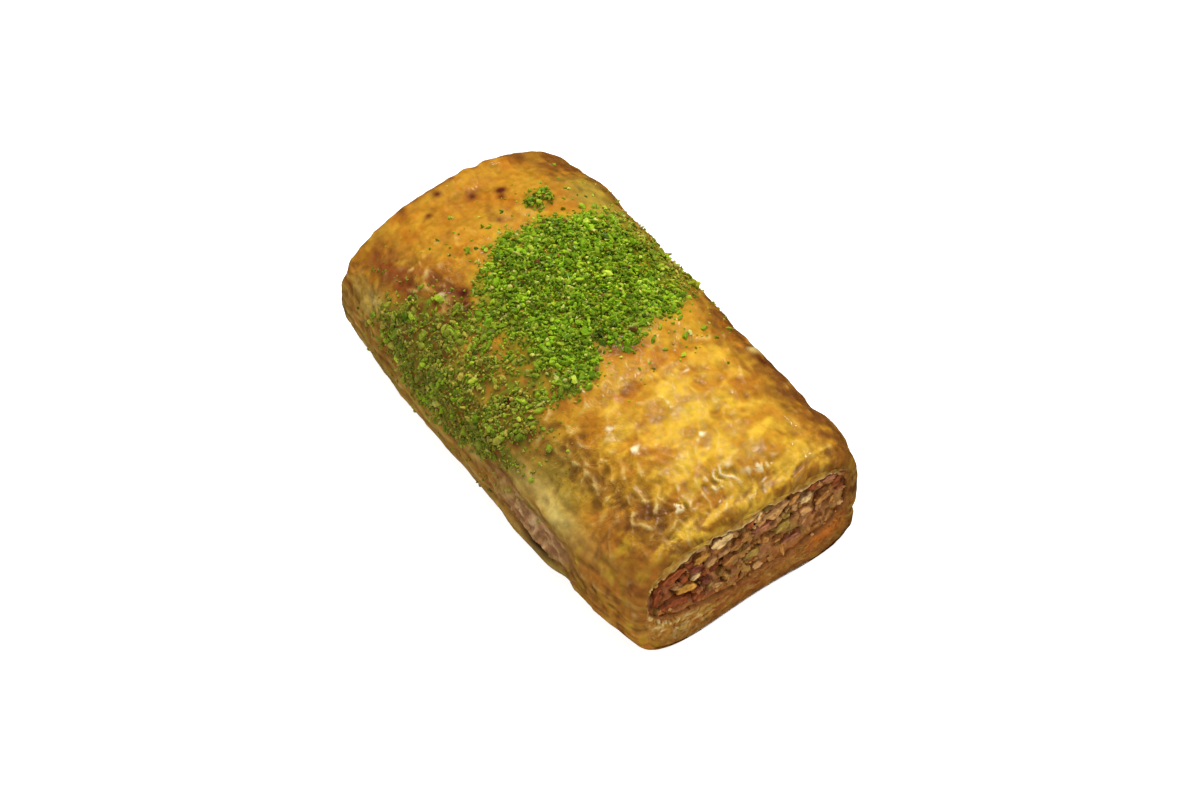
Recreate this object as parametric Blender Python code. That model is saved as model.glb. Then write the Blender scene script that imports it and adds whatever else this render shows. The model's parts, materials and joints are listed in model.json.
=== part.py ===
"""A rolled baklava piece: a flattened filo roll round a walnut filling, with ground pistachio on top.

The roll lies along Y on its flat underside. Its shown cut end faces -Y, and the pistachio reaches down
its -X side. Lengths are in metres. A place on the crust is given by its distance round from the top line,
positive towards -X and negative towards +X, and by its distance along Y from mid length.
"""

import functools
import math
import random

import bmesh
import bpy
import numpy as np
from mathutils import Matrix, Vector, noise

MM = 0.001

# The roll's driving sizes
LENGTH = 59.6 * MM
WIDTH = 32.8 * MM
HEIGHT = 18.1 * MM

# The outer section at mid length: a superellipse whose widest height is a share of the full height
WIDEST_SHARE = 0.477
TOP_POWER = 2.5
BOTTOM_POWER = 4.6
UNDERSIDE_TRIM = 0.35 * MM

# How the section changes towards each cut end
FRONT = {"height": 16.4 * MM, "width": 0.917, "power": 3.7, "reach": 7.0 * MM, "shift": 0.3 * MM,
         "skew": 0.025, "lean": 0.03, "bow": 0.6 * MM, "cavity_power": 2.7, "thicker": 0.1 * MM}
BACK = {"height": 16.1 * MM, "width": 0.979, "power": 2.1, "reach": 12.5 * MM, "shift": 0.8 * MM,
        "skew": 0.024, "lean": -0.03, "bow": -1.3 * MM, "cavity_power": 2.0, "thicker": 0.6 * MM}
BOW_POWER = 3.0
# How far the front's lower edge draws back, up to which height, and round which x
TUCK = 0.75 * MM
TUCK_TOP = 8 * MM
TUCK_MIDDLE = 3 * MM
TUCK_HALF = 9 * MM
EDGE_ROUND = 1.0 * MM

# The crust's walls round the filling, and the filling's clearance inside them
SIDE_WALL = 1.7 * MM
TOP_WALL = 1.1 * MM
BOTTOM_WALL = 3.8 * MM
WALL_WAVE = 0.45 * MM
WALL_WAVE_SCALE = 6 * MM
CAVITY_POWER = 2.7
FILLING_GAP = 0.3 * MM
FILLING_RECESS = 0.6 * MM

# Mesh density: points round the crust are closer on its top than underneath
AROUND = 60
TOP_DENSITY = 0.35
ALONG = 26
EDGE_STEPS = (0.0, 0.2, 0.6, 1.0)
CAVITY_RINGS = 5
FILLING_AROUND = 36
RAYS = np.linspace(math.pi / 2, 5 * math.pi / 2, 361)

# Sheets that show across each cut end of the crust
SHEETS = 5
SHEET_STEP = 0.24 * MM
RAGGED = 0.45 * MM
RAGGED_SCALE = 5 * MM

# Relief of the crust: each fold is (distance round, half width, depth, start and end along Y)
FOLDS = ((18.0, 1.5, 0.60, -24, -6), (21.0, 1.5, -0.65, -22, -3), (23.3, 1.0, 0.25, -22, -3),
         (25.6, 1.2, -0.95, -20, -2), (28.6, 1.8, 0.50, -18, -4), (27.5, 2.2, -0.40, -28, -13),
         (27.0, 2.4, -0.30, 14, 32), (-24.8, 1.0, -0.85, -36, 36), (-27.0, 1.2, 0.30, -36, 36))
FOLD_RAMP = 4 * MM
FOLD_WANDER = 1.2 * MM
# Each cross crease is (place along Y at the top line, slope, depth)
CREASES = ((-21.5, 0.10, 0.22), (-16.0, -0.20, 0.30), (-9.5, 0.25, 0.20), (18.5, -0.15, 0.22),
           (24.0, 0.30, 0.20))
CREASE_WIDTH = 1.6 * MM
SWELL = 0.4 * MM
SWELL_SCALE = 12 * MM
BED_RISE = 0.25 * MM

# The pistachio: each patch is (distance along Y, distance round, half length, half span)
PATCHES = ((6.0, -3.0, 10.5, 14.0), (8.0, 16.0, 10.5, 7.5), (0.5, 15.5, 9.0, 5.5), (-1.5, 7.0, 5.5, 6.0),
           (19.3, -6.2, 1.9, 1.9))
PATCH_RIM = 0.16
GRAINS = 130
GRAIN_SIZE = (0.95 * MM, 1.55 * MM)
GRAIN_SPACING = 1.62 * MM
GRAIN_ROUGH = 0.5
# Where a grain's middle lies above the crust, as a share of its size
GRAIN_RISE = 0.16
# How deep in a patch a grain has to lie, and the stretch of crust that is tried
GRAIN_DEPTH = 0.02
GRAIN_ALONG = (-9 * MM, 22 * MM)
GRAIN_AROUND = (-18 * MM, 24 * MM)
GRAIN_TRIALS = 5000

# Large nut pieces on the cut ends, as seen from that end: (x, z, length, share across, turn in degrees)
NUTS = ((-9.9, 7.3, 4.6, 0.34, -6), (-12.2, 9.4, 2.6, 0.55, 80), (-10.4, 11.8, 3.6, 0.45, 16),
        (-7.2, 11.1, 2.2, 0.60, -35), (-8.6, 8.9, 2.3, 0.60, -24), (-3.5, 13.3, 2.5, 0.50, 16),
        (3.2, 13.1, 3.4, 0.60, 8), (1.5, 11.5, 3.0, 0.36, -6), (7.5, 12.1, 1.5, 0.80, 0),
        (10.7, 13.1, 2.2, 0.50, -10), (4.4, 9.8, 2.6, 0.55, 10), (0.1, 8.2, 2.4, 0.60, 5),
        (10.0, 10.6, 2.4, 0.60, 40))
# The back's nut pieces lie closer to their middle height, because the roll is rounder there
BACK_CROWDING = 0.9
BACK_NUT_MIDDLE = 9.0
NUT_PROUD = 0.28 * MM
NUT_ROUGH = 0.45
# Noise cells to a nut piece's or a grain's length
LUMP_GRAIN = 2.4

# Shares of the way in from the filling's rim at which its ends have a ring, and how far these rise and sink
PASTE_RINGS = (0.12, 0.35, 0.6, 0.82)
PASTE_SWELL = 0.7 * MM
PASTE_SWELL_SCALE = 4.5 * MM

COLOURS = {"filo": (0.55, 0.28, 0.05), "walnut": (0.25, 0.11, 0.04)}


def smoothstep(share):
    share = min(max(share, 0.0), 1.0)
    return share * share * (3 - 2 * share)


def bump(value, centre, half_width):
    return math.exp(-(((value - centre) / half_width) ** 2))


def end_pulls(y):
    """How far the section at y has turned into the front's and the back's, each from 0 to 1."""
    front = 1 - smoothstep((y + LENGTH / 2) / FRONT["reach"])
    back = 1 - smoothstep((LENGTH / 2 - y) / BACK["reach"])
    return front, back


def blended(y, middle, key):
    front, back = end_pulls(y)
    return middle + front * (FRONT[key] - middle) + back * (BACK[key] - middle)


def middle_x(y):
    front, back = end_pulls(y)
    return front * FRONT["shift"] + back * BACK["shift"]


def radius(ray, half_width, up, down, power_up, power_down):
    """Distance from a superellipse's middle to its rim along this ray, which may be an array."""
    across, rise = np.abs(np.cos(ray)), np.abs(np.sin(ray))
    power = np.where(np.sin(ray) >= 0, power_up, power_down)
    height = np.where(np.sin(ray) >= 0, up, down)
    return ((across / half_width) ** power + (rise / height) ** power) ** (-1 / power)


def sheared(x, y, z):
    """The point with the slant and bow of the nearer cut end."""
    front, back = end_pulls(y)
    bow = abs(x / (WIDTH / 2)) ** BOW_POWER
    slant = sum(pull * (end["skew"] * x + end["lean"] * z + end["bow"] * bow)
                for pull, end in ((front, FRONT), (back, BACK)))
    tuck = front * TUCK * smoothstep(1 - z / TUCK_TOP) * bump(x, TUCK_MIDDLE, TUCK_HALF)
    return Vector((x, y + slant + tuck, z))


@functools.lru_cache(maxsize=128)
def outer_section(y):
    """The crust's outer section at y: its x, its z and the share of the way round from the top line."""
    height = blended(y, HEIGHT, "height")
    from_end = LENGTH / 2 - abs(y)
    inset = 0.0
    if from_end < EDGE_ROUND:
        inset = EDGE_ROUND - math.sqrt(EDGE_ROUND**2 - (EDGE_ROUND - from_end) ** 2)
    widest = WIDEST_SHARE * height
    reach = radius(RAYS, WIDTH / 2 * blended(y, 1.0, "width") - inset, height - widest - inset,
                   widest + UNDERSIDE_TRIM - inset / 2, blended(y, TOP_POWER, "power"), BOTTOM_POWER)
    x = middle_x(y) + reach * np.cos(RAYS)
    z = np.maximum(widest + reach * np.sin(RAYS), 0.0)
    way = np.concatenate(([0.0], np.cumsum(np.hypot(np.diff(x), np.diff(z)))))
    return x, z, way


def girth():
    return float(outer_section(0.0)[2][-1])


def outer_smooth(share, y):
    """The crust's surface without its relief, at this share of the way round."""
    x, z, way = outer_section(y)
    at = (share % 1.0) * way[-1]
    return sheared(float(np.interp(at, way, x)), y, float(np.interp(at, way, z)))


def outward_at(share, y):
    """The direction square to the section here."""
    step = 0.004
    along = outer_smooth(share + step, y) - outer_smooth(share - step, y)
    return Vector((along.z, 0, -along.x)).normalized()


def distance_round(share):
    share = share % 1.0
    return (share if share < 0.5 else share - 1) * girth()


def in_patch(around, y):
    """Depth in the nearest pistachio patch: 1 at its middle, 0 at its rim and below 0 outside."""
    depth = max(1 - math.hypot((y - at * MM) / (half * MM), (around - middle * MM) / (span * MM))
                for at, middle, half, span in PATCHES)
    return depth + PATCH_RIM * noise.noise(Vector((around, y, 0)) / (3 * MM))


def relief(share, y, point):
    """How far the crust stands out of its smooth form here."""
    around = distance_round(share)
    wander = FOLD_WANDER * noise.noise(Vector((0, y / (9 * MM), 3)))
    upper = smoothstep((point.z - 0.35 * HEIGHT) / (0.4 * HEIGHT))
    out = 0.0
    for at, half, depth, start, end in FOLDS:
        span = smoothstep((y - start * MM) / FOLD_RAMP) * smoothstep((end * MM - y) / FOLD_RAMP)
        out += span * depth * MM * bump(around, at * MM + wander, half * MM)
    for at, slope, depth in CREASES:
        out -= upper * depth * MM * bump(y, at * MM + slope * point.x, CREASE_WIDTH)
    out += upper * BED_RISE * smoothstep(3 * in_patch(around, y))
    out += smoothstep(point.z / (0.4 * HEIGHT)) * SWELL * noise.noise(point / SWELL_SCALE)
    return out


def outer_point(share, y):
    """The crust's surface with its relief, pushed out square to the section."""
    here = outer_smooth(share, y)
    if here.z <= 0:
        return here
    fade = 0.45 + 0.55 * smoothstep((LENGTH / 2 - abs(y)) / (2 * EDGE_ROUND))
    moved = here + outward_at(share, y) * relief(share, y, here) * fade
    return Vector((moved.x, moved.y, max(moved.z, 0.0)))


def cavity_middle(y):
    return Vector((middle_x(y), y, (blended(y, HEIGHT, "height") - TOP_WALL + BOTTOM_WALL) / 2))


def cavity_radius(ray, y, gap):
    """Distance from the cavity's middle to the inside of the crust, less the gap."""
    half = WIDTH / 2 * blended(y, 1.0, "width") - SIDE_WALL
    rise = (blended(y, HEIGHT, "height") - TOP_WALL - BOTTOM_WALL) / 2
    spot = Vector((half * math.cos(ray), y, rise * math.sin(ray))) / WALL_WAVE_SCALE
    power = blended(y, CAVITY_POWER, "cavity_power")
    plain = float(radius(ray, half, rise, rise, power, power)) - blended(y, 0.0, "thicker")
    return plain + WALL_WAVE * (noise.noise(spot) - 0.3) - gap


def cavity_point(ray, y, gap=0.0):
    """The inside of the crust along this ray, or the filling's own surface if gap is its clearance."""
    middle = cavity_middle(y)
    reach = cavity_radius(ray, y, gap)
    return sheared(middle.x + reach * math.cos(ray), y, middle.z + reach * math.sin(ray))


def shares():
    """Shares of the way round at which the crust has a point, closer together on its top."""
    even = [k / AROUND for k in range(AROUND)]
    return [share - TOP_DENSITY * math.sin(2 * math.pi * share) / (2 * math.pi) for share in even]


def outer_ring(y):
    return [outer_point(share, y) for share in shares()]


def cavity_ring(y):
    """Points of the cavity that face those of the outer ring."""
    middle = cavity_middle(y)
    outer = [outer_smooth(share, y) for share in shares()]
    return [cavity_point(math.atan2(point.z - middle.z, point.x - middle.x), y) for point in outer]


def stations():
    """Distances along the roll where the crust has a ring, from back to front."""
    back = [LENGTH / 2 - share * EDGE_ROUND for share in EDGE_STEPS]
    inner = LENGTH / 2 - EDGE_ROUND
    between = [inner * (1 - 2 * k / ALONG) for k in range(1, ALONG)]
    return back + between + [-y for y in reversed(back)]


def sheet_edges(outer, inner, towards):
    """Rings across a cut end of the crust, which step in and out as its sheets do."""
    rings = []
    for sheet in range(1, SHEETS + 1):
        side = 1 if sheet % 2 else -1
        row = []
        for a, b in zip(outer, inner):
            ragged = noise.noise(a / RAGGED_SCALE + Vector((0, 0, 0.6 * sheet)))
            spot = a.lerp(b, (sheet + 0.3 * ragged) / (SHEETS + 1))
            row.append(spot + Vector((0, towards * (side * SHEET_STEP + RAGGED * ragged), 0)))
        rings.append(row)
    return rings


def loft(name, rings, closed):
    """One mesh through the rings, joined from the last to the first if closed, else capped."""
    mesh = bpy.data.meshes.new(name)
    bm = bmesh.new()
    rows = [[bm.verts.new(point) for point in row] for row in rings]
    count = len(rows[0])
    pairs = list(zip(rows, rows[1:]))
    if closed:
        pairs.append((rows[-1], rows[0]))
    for first, second in pairs:
        for k in range(count):
            following = (k + 1) % count
            bm.faces.new((first[k], first[following], second[following], second[k]))
    if not closed:
        for row in (rows[0], rows[-1]):
            middle = bm.verts.new(sum((v.co for v in row), Vector()) / count)
            for k in range(count):
                bm.faces.new((row[k], row[(k + 1) % count], middle))
    bmesh.ops.recalc_face_normals(bm, faces=bm.faces)
    bm.to_mesh(mesh)
    bm.free()
    obj = bpy.data.objects.new(name, mesh)
    bpy.context.scene.collection.objects.link(obj)
    return obj


def crust_tube():
    """The filo crust: its outside, the front's sheet edges, the cavity and the back's as one closed loft."""
    outside = [outer_ring(y) for y in stations()]
    ends = LENGTH / 2
    inside = [cavity_ring(-ends + 2 * ends * k / CAVITY_RINGS) for k in range(CAVITY_RINGS + 1)]
    front = sheet_edges(outside[-1], inside[0], -1)
    back = sheet_edges(inside[-1], outside[0], 1)
    return loft("pastry", outside + front + inside + back, closed=True)


def filling_ring(y):
    rays = [2 * math.pi * k / FILLING_AROUND for k in range(FILLING_AROUND)]
    return [cavity_point(ray, y, gap=FILLING_GAP) for ray in rays]


def paste_end(row, towards):
    """Rings from the filling's rim towards its middle, which rise and sink gently."""
    middle = sum(row, Vector()) / len(row)
    rings = []
    for share in PASTE_RINGS:
        spots = [point.lerp(middle, share) for point in row]
        swells = [towards * PASTE_SWELL * noise.noise(spot / PASTE_SWELL_SCALE) for spot in spots]
        rings.append([spot + Vector((0, swell, 0)) for spot, swell in zip(spots, swells)])
    return rings


def filling_core():
    """The nut paste inside the crust, with uneven ends."""
    reach = LENGTH / 2 - FILLING_RECESS
    body = [filling_ring(-reach + 2 * reach * k / CAVITY_RINGS) for k in range(CAVITY_RINGS + 1)]
    front = paste_end(body[0], -1)
    back = paste_end(body[-1], 1)
    return loft("filling", front[::-1] + body + back, closed=False)


def grain_lump(size, direction, draw):
    """A rough grain of about this size, lying flat against direction."""
    bm = bmesh.new()
    bmesh.ops.create_icosphere(bm, subdivisions=1, radius=size / 2)
    longer, across, thick = draw.random(), draw.random(), draw.random()
    stretch = Matrix.Diagonal((1.1 + 0.35 * longer, 0.75 + 0.3 * across, 0.7 + 0.25 * thick, 1))
    spin = Matrix.Rotation(draw.uniform(0, 2 * math.pi), 4, "Z")
    lean = direction.to_track_quat("Z", "Y").to_matrix().to_4x4()
    offset = Vector((draw.random(), draw.random(), draw.random())) * 10
    for vert in bm.verts:
        vert.co *= 1 + GRAIN_ROUGH * noise.noise(vert.co / size * LUMP_GRAIN + offset)
    bmesh.ops.transform(bm, matrix=lean @ spin @ stretch, verts=bm.verts)
    mesh = bpy.data.meshes.new("grain")
    bm.to_mesh(mesh)
    bm.free()
    return bpy.data.objects.new("grain", mesh)


def grain_places(draw):
    """Spots for the largest crumbs, spaced evenly over the patches."""
    places = []
    for _ in range(GRAIN_TRIALS):
        y = draw.uniform(*GRAIN_ALONG)
        around = draw.uniform(*GRAIN_AROUND)
        if in_patch(around, y) < GRAIN_DEPTH:
            continue
        share = around / girth()
        point = outer_point(share, y)
        if all((point - other).length > GRAIN_SPACING for other, _ in places):
            places.append((point, outward_at(share, y)))
        if len(places) == GRAINS:
            break
    return places


def pistachio_grains():
    draw = random.Random(11)
    grains = []
    for point, outward in grain_places(draw):
        size = draw.uniform(*GRAIN_SIZE)
        grain = grain_lump(size, outward, draw)
        grain.location = point + outward * size * GRAIN_RISE
        grains.append(grain)
    return grains


def keep_inside(piece, y):
    """Pulls what would touch the crust back to the filling's own surface."""
    middle = cavity_middle(y)
    for vert in piece.data.vertices:
        placed = vert.co + piece.location
        ray = math.atan2(placed.z - middle.z, placed.x - middle.x)
        reach = math.hypot(placed.z - middle.z, placed.x - middle.x)
        most = cavity_radius(ray, y, FILLING_GAP) - FILLING_GAP / 2
        if reach > most:
            vert.co.x = middle.x + (placed.x - middle.x) * most / reach - piece.location.x
            vert.co.z = middle.z + (placed.z - middle.z) * most / reach - piece.location.z


def nut_piece(length, narrow, turn, offset):
    """A lobed nut piece, long across the cut and turned in its plane."""
    bm = bmesh.new()
    bmesh.ops.create_icosphere(bm, subdivisions=2, radius=length / 2)
    stretch = Matrix.Diagonal((1, 0.5 * (1 + narrow), narrow, 1))
    spin = Matrix.Rotation(-math.radians(turn), 4, "Y")
    for vert in bm.verts:
        vert.co *= 1 + NUT_ROUGH * noise.noise(vert.co / length * LUMP_GRAIN + offset)
    bmesh.ops.transform(bm, matrix=spin @ stretch, verts=bm.verts)
    mesh = bpy.data.meshes.new("nut")
    bm.to_mesh(mesh)
    bm.free()
    return bpy.data.objects.new("nut", mesh)


def nut_pieces():
    """The large nut pieces of both cut ends, set into the paste so that they stand a little proud of it."""
    draw = random.Random(5)
    pieces = []
    for towards in (-1, 1):
        y = towards * (LENGTH / 2 - FILLING_RECESS)
        for x, z, length, narrow, turn in NUTS:
            offset = Vector((draw.random(), draw.random(), draw.random())) * 10
            piece = nut_piece(length * MM, narrow, turn * -towards, offset)
            sunk = 0.25 * (1 + narrow) * length * MM - NUT_PROUD
            if towards > 0:
                x, z = x * BACK_CROWDING, BACK_NUT_MIDDLE + (z - BACK_NUT_MIDDLE) * BACK_CROWDING
            piece.location = sheared(x * MM * -towards, y, z * MM) - Vector((0, towards * sunk, 0))
            keep_inside(piece, y)
            pieces.append(piece)
    return pieces


def unite(obj, pieces):
    """Joins the pieces to obj with one Boolean, applied, and removes them."""
    group = bpy.data.collections.new(obj.name + "_pieces")
    bpy.context.scene.collection.children.link(group)
    for piece in pieces:
        group.objects.link(piece)
    joining = obj.modifiers.new("join", "BOOLEAN")
    joining.operation = "UNION"
    joining.operand_type = "COLLECTION"
    joining.collection = group
    joining.solver = "MANIFOLD"
    graph = bpy.context.evaluated_depsgraph_get()
    joined = bpy.data.meshes.new_from_object(obj.evaluated_get(graph), depsgraph=graph)
    obj.modifiers.clear()
    obj.data = joined
    for piece in pieces:
        bpy.data.objects.remove(piece)
    bpy.data.collections.remove(group)


def finish_material(obj, name, roughness):
    material = bpy.data.materials.new(name)
    material.use_nodes = True
    shader = material.node_tree.nodes["Principled BSDF"]
    shader.inputs["Base Color"].default_value = (*COLOURS[name], 1)
    shader.inputs["Roughness"].default_value = roughness
    shader.inputs["Metallic"].default_value = 0
    obj.data.materials.clear()
    obj.data.materials.append(material)


def main():
    for obj in list(bpy.data.objects):
        bpy.data.objects.remove(obj)
    pastry = crust_tube()
    unite(pastry, pistachio_grains())
    finish_material(pastry, "filo", 0.3)
    filling = filling_core()
    unite(filling, nut_pieces())
    finish_material(filling, "walnut", 0.5)


main()
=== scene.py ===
"""Looks of the rolled baklava piece: glazed filo skin, cut ends with nut filling, and ground pistachio.

Sizes are in millimetres until a mesh is made. A place on the crust is (round, along): the distance round
from the top line, positive towards -X, and the distance along Y from mid length.
"""

import json
import math

import bpy
import numpy as np
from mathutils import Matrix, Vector, noise

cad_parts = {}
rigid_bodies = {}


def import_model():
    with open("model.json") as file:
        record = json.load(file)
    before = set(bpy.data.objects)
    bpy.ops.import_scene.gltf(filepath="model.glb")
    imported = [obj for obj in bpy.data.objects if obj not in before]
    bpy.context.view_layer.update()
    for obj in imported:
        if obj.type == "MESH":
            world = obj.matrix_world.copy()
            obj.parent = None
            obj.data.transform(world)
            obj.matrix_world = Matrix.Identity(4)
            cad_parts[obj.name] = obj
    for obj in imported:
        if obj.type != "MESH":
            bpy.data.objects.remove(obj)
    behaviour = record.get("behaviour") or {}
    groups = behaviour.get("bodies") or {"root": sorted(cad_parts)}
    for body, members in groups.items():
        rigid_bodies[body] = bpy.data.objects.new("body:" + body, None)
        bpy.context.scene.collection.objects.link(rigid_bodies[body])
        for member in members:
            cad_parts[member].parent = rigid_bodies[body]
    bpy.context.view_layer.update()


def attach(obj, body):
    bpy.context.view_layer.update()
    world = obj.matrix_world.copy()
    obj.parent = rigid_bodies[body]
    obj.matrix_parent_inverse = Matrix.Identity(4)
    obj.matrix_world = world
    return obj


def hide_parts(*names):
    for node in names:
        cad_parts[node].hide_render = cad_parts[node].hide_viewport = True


for obj in list(bpy.data.objects):
    bpy.data.objects.remove(obj)
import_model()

MM = 0.001

# Form of the roll, as in the part's solids
LENGTH, WIDTH, HEIGHT = 59.6, 32.8, 18.1
WIDEST_SHARE, TOP_POWER, BOTTOM_POWER, UNDERSIDE_TRIM = 0.477, 2.5, 4.6, 0.35
FRONT = {"height": 16.4, "width": 0.917, "power": 3.7, "reach": 7.0, "shift": 0.3,
         "skew": 0.025, "lean": 0.03, "bow": 0.6, "cavity_power": 2.7, "thicker": 0.1}
BACK = {"height": 16.1, "width": 0.979, "power": 2.1, "reach": 12.5, "shift": 0.8,
        "skew": 0.024, "lean": -0.03, "bow": -1.3, "cavity_power": 2.0, "thicker": 0.6}
BOW_POWER = 3.0
EDGE_ROUND = 1.0
SIDE_WALL, TOP_WALL, BOTTOM_WALL = 1.7, 1.1, 3.8
WALL_WAVE, WALL_WAVE_SCALE = 0.45, 6.0
CAVITY_POWER = 2.7
TUCK, TUCK_TOP, TUCK_MIDDLE, TUCK_HALF = 0.75, 8.0, 3.0, 9.0
FOLDS = ((18, 1.5, 0.60, -24, -6), (21, 1.5, -0.65, -22, -3), (23.3, 1, 0.25, -22, -3),
         (25.6, 1.2, -0.95, -20, -2), (28.6, 1.8, 0.50, -18, -4), (27.5, 2.2, -0.40, -28, -13),
         (27, 2.4, -0.30, 14, 32), (-24.8, 1, -0.85, -36, 36), (-27, 1.2, 0.30, -36, 36))
FOLD_RAMP, FOLD_WANDER = 4.0, 1.2
CREASES = ((-21.5, 0.10, 0.22), (-16, -0.20, 0.30), (-9.5, 0.25, 0.20), (18.5, -0.15, 0.22),
           (24, 0.30, 0.20))
CREASE_WIDTH, SWELL, SWELL_SCALE, BED_RISE = 1.6, 0.4, 12.0, 0.25
PATCHES = ((6, -3, 10.5, 14), (8, 16, 10.5, 7.5), (0.5, 15.5, 9, 5.5), (-1.5, 7, 5.5, 6),
           (19.3, -6.2, 1.9, 1.9))
PATCH_RIM = 0.16
# The small cluster near the back, as (round, along, half round, half along)
STRAY_CLUSTER = (-6.2, 19.3, 3, 2.6)
RAYS = np.linspace(math.pi / 2, 5 * math.pi / 2, 721)
TORN_EDGE = 0.28

# Crumbs darkened nearly to black at the near rim, as (round, along, half round, half along)
DARK_CRUMBS = (0.5, -2.1, 0.7, 0.55)

# Density of the visible skin
SKIN_ROWS = 250
SKIN_TOP_COLUMNS = 344
SKIN_UNDER_COLUMNS = 54
SKIN_TOP_REACH = 30.5
SKIN_CROWDING = 0.35
# The finest crinkles, which the mesh is too coarse for
CRINKLE_SCALE, CRINKLE_WIDTH, CRINKLE_HEIGHT = 1.9, 0.05, 0.45
FRONT_CROWDING = 0.25

# Photograph colours, as they look under the scene's light
GOLD = (190, 138, 28)
YELLOW = (212, 170, 38)
AMBER = (176, 106, 14)
FLECK = (238, 212, 128)
BROWN = (122, 72, 22)
RUST = (134, 70, 22)
UMBER = (86, 44, 16)
OLIVE = (158, 138, 46)
PALE = (206, 180, 96)
PALE_GOLD = (236, 190, 56)
SIDE_TAN = (204, 148, 60)
WALL = (202, 128, 32)
MOSS = (112, 122, 20)
CRUMB_GREENS = ((112, 146, 14), (136, 164, 26), (92, 124, 12), (160, 176, 48), (74, 98, 12),
                (190, 188, 92), (120, 90, 34))
STRAW, DULL_GREEN = (186, 160, 66), (128, 112, 40)
CRUMB_SHARES = (0.36, 0.24, 0.18, 0.11, 0.05, 0.04, 0.02)
NUT_TONES = {"skin": (166, 84, 38), "purple": (154, 84, 60), "tan": (220, 162, 94),
             "pale": (246, 202, 130), "amber": (222, 156, 58), "meat": (200, 136, 64),
             "green": (170, 136, 56), "rose": (192, 122, 80)}
PASTE, PASTE_LIGHT, PASTE_LOW = (176, 108, 46), (212, 150, 76), (176, 92, 30)
# Painted highlight for the crests where the syrup glints
CREAM_HIGHLIGHT = (250, 235, 188)
HUSK = (116, 60, 28)
# The deep fold low on the left side: its pink tone, painted shade in its cracks, its slot and a band along
# it, and a painted highlight on the crests of its torn layers
FOLD_PINK, FOLD_CREST_HIGHLIGHT, FOLD_CRACK_SHADE = (204, 148, 94), (232, 190, 134), (104, 60, 28)
FOLD_SLOT_SHADE, FOLD_SHADE = (62, 28, 14), (82, 46, 14)
# The cut edges of the sheets
EDGE_GOLD, EDGE_PALE, EDGE_LIP = (196, 136, 38), (232, 188, 92), (226, 180, 84)
EDGE_RED, EDGE_BROWN = (172, 88, 24), (158, 84, 36)
EDGE_ORANGE, EDGE_FLAP = (206, 116, 34), (228, 126, 28)

# Tones of the baked skin: each place is (round, along, half round, half along, depth)
# The browned place at (22.5, -13), below the ridge of the fold low on the left side, is painted shade
# under that ridge
BROWNED = ((11.8, -19.5, 2.4, 8, 0.5), (15.5, -26, 3, 3, 0.45), (11, 14.2, 2.6, 3.2, 1.1),
           (13.2, 22, 1.6, 6.5, 0.9), (22.5, -13, 3, 9, 0.7), (9.6, -24.5, 2.6, 3, 0.6),
           (-11.5, 23, 2.6, 5, 0.4), (-15.6, -16, 3.4, 11, 1.15), (9.2, -3.6, 1.3, 3.2, 0.6),
           (13.6, -8, 1.3, 4, 0.7), (-15.5, 24, 3, 6, 0.8), (0, 29.5, 14, 0.7, 0.8),
           (20.5, 14.5, 2.4, 3, 0.6), (0, 25, 13, 6, 0.22), (-11, 21, 4, 7, 0.2))
ORANGED = ((4.4, 17.5, 2.4, 2.6, 0.8), (7.6, -9, 2.4, 4, 0.7), (-3.4, -8.6, 3, 1.4, 0.6),
           (-9.4, -15, 2.2, 2.6, 0.6), (7.6, -18.5, 2, 2.6, 0.5), (2, -27.6, 2.4, 1.2, 0.7),
           (-12, -24, 1.6, 3, 0.6), (1, 25, 8, 3.4, 0.65), (12, 17, 3, 4, 0.6),
           (-4, -29.2, 7, 0.9, 0.6))
BRIGHT = ((-2.2, -15, 4.5, 4.5, 0.65), (0.4, -23.2, 5, 2.4, 0.85), (-8, -21.5, 3.4, 3.6, 0.5),
          (5, -12.4, 2, 1.8, 0.45), (-10, 25, 3, 3, 0.35), (-7, -10.5, 2.4, 1.6, 0.4),
          (0, -28.6, 9, 0.9, 0.7), (8, -27.6, 3, 1.2, 0.5))
RUSTED = ((11.4, 14.2, 3, 3.4, 1.2), (12.6, 20.5, 1.9, 5.5, 1.1), (10, 11.6, 1.6, 1.4, 0.7),
          (15.5, 26, 2.6, 2.4, 0.6), (24.5, -8.5, 1.6, 5, 0.6), (-2, -5.4, 2.4, 0.5, 0.7),
          (17, -29, 3, 1.5, 0.4))
# Dark baked specks near the back and by the pistachio: each is (round, along, size, depth)
SPECKS = ((-3.4, 23.4, 0.7, 1), (-2.8, 22.2, 0.5, 0.7), (-0.3, 25, 0.6, 0.8), (3, 28, 0.6, 0.8),
          (5.6, 25.7, 0.55, 0.7), (-0.6, 19, 0.5, 0.6), (8.5, 12.6, 0.7, 1), (9.2, 11.2, 0.5, 0.9),
          (13, -2.3, 0.8, 1), (-0.9, -4.5, 1.4, 0.6), (-13.6, -13, 0.9, 0.7), (-0.6, -3.2, 0.5, 0.5),
          (-9.4, 28.6, 1.4, 0.6))
SPECK = (84, 28, 12)
# A blister over the right edge, with a dark foot: (round, along, half round, half along)
EDGE_BLISTER = (-14.0, -11.4, 1.5, 1.1)
# The most crinkled places
CRINKLED = ((11.5, -17, 3.6, 10, 1), (23.5, -11, 4, 9, 0.9), (11, 15, 4, 8, 0.8),
            (-14, -14, 3, 14, 0.5), (18, 21, 3, 6, 0.6))
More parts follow.
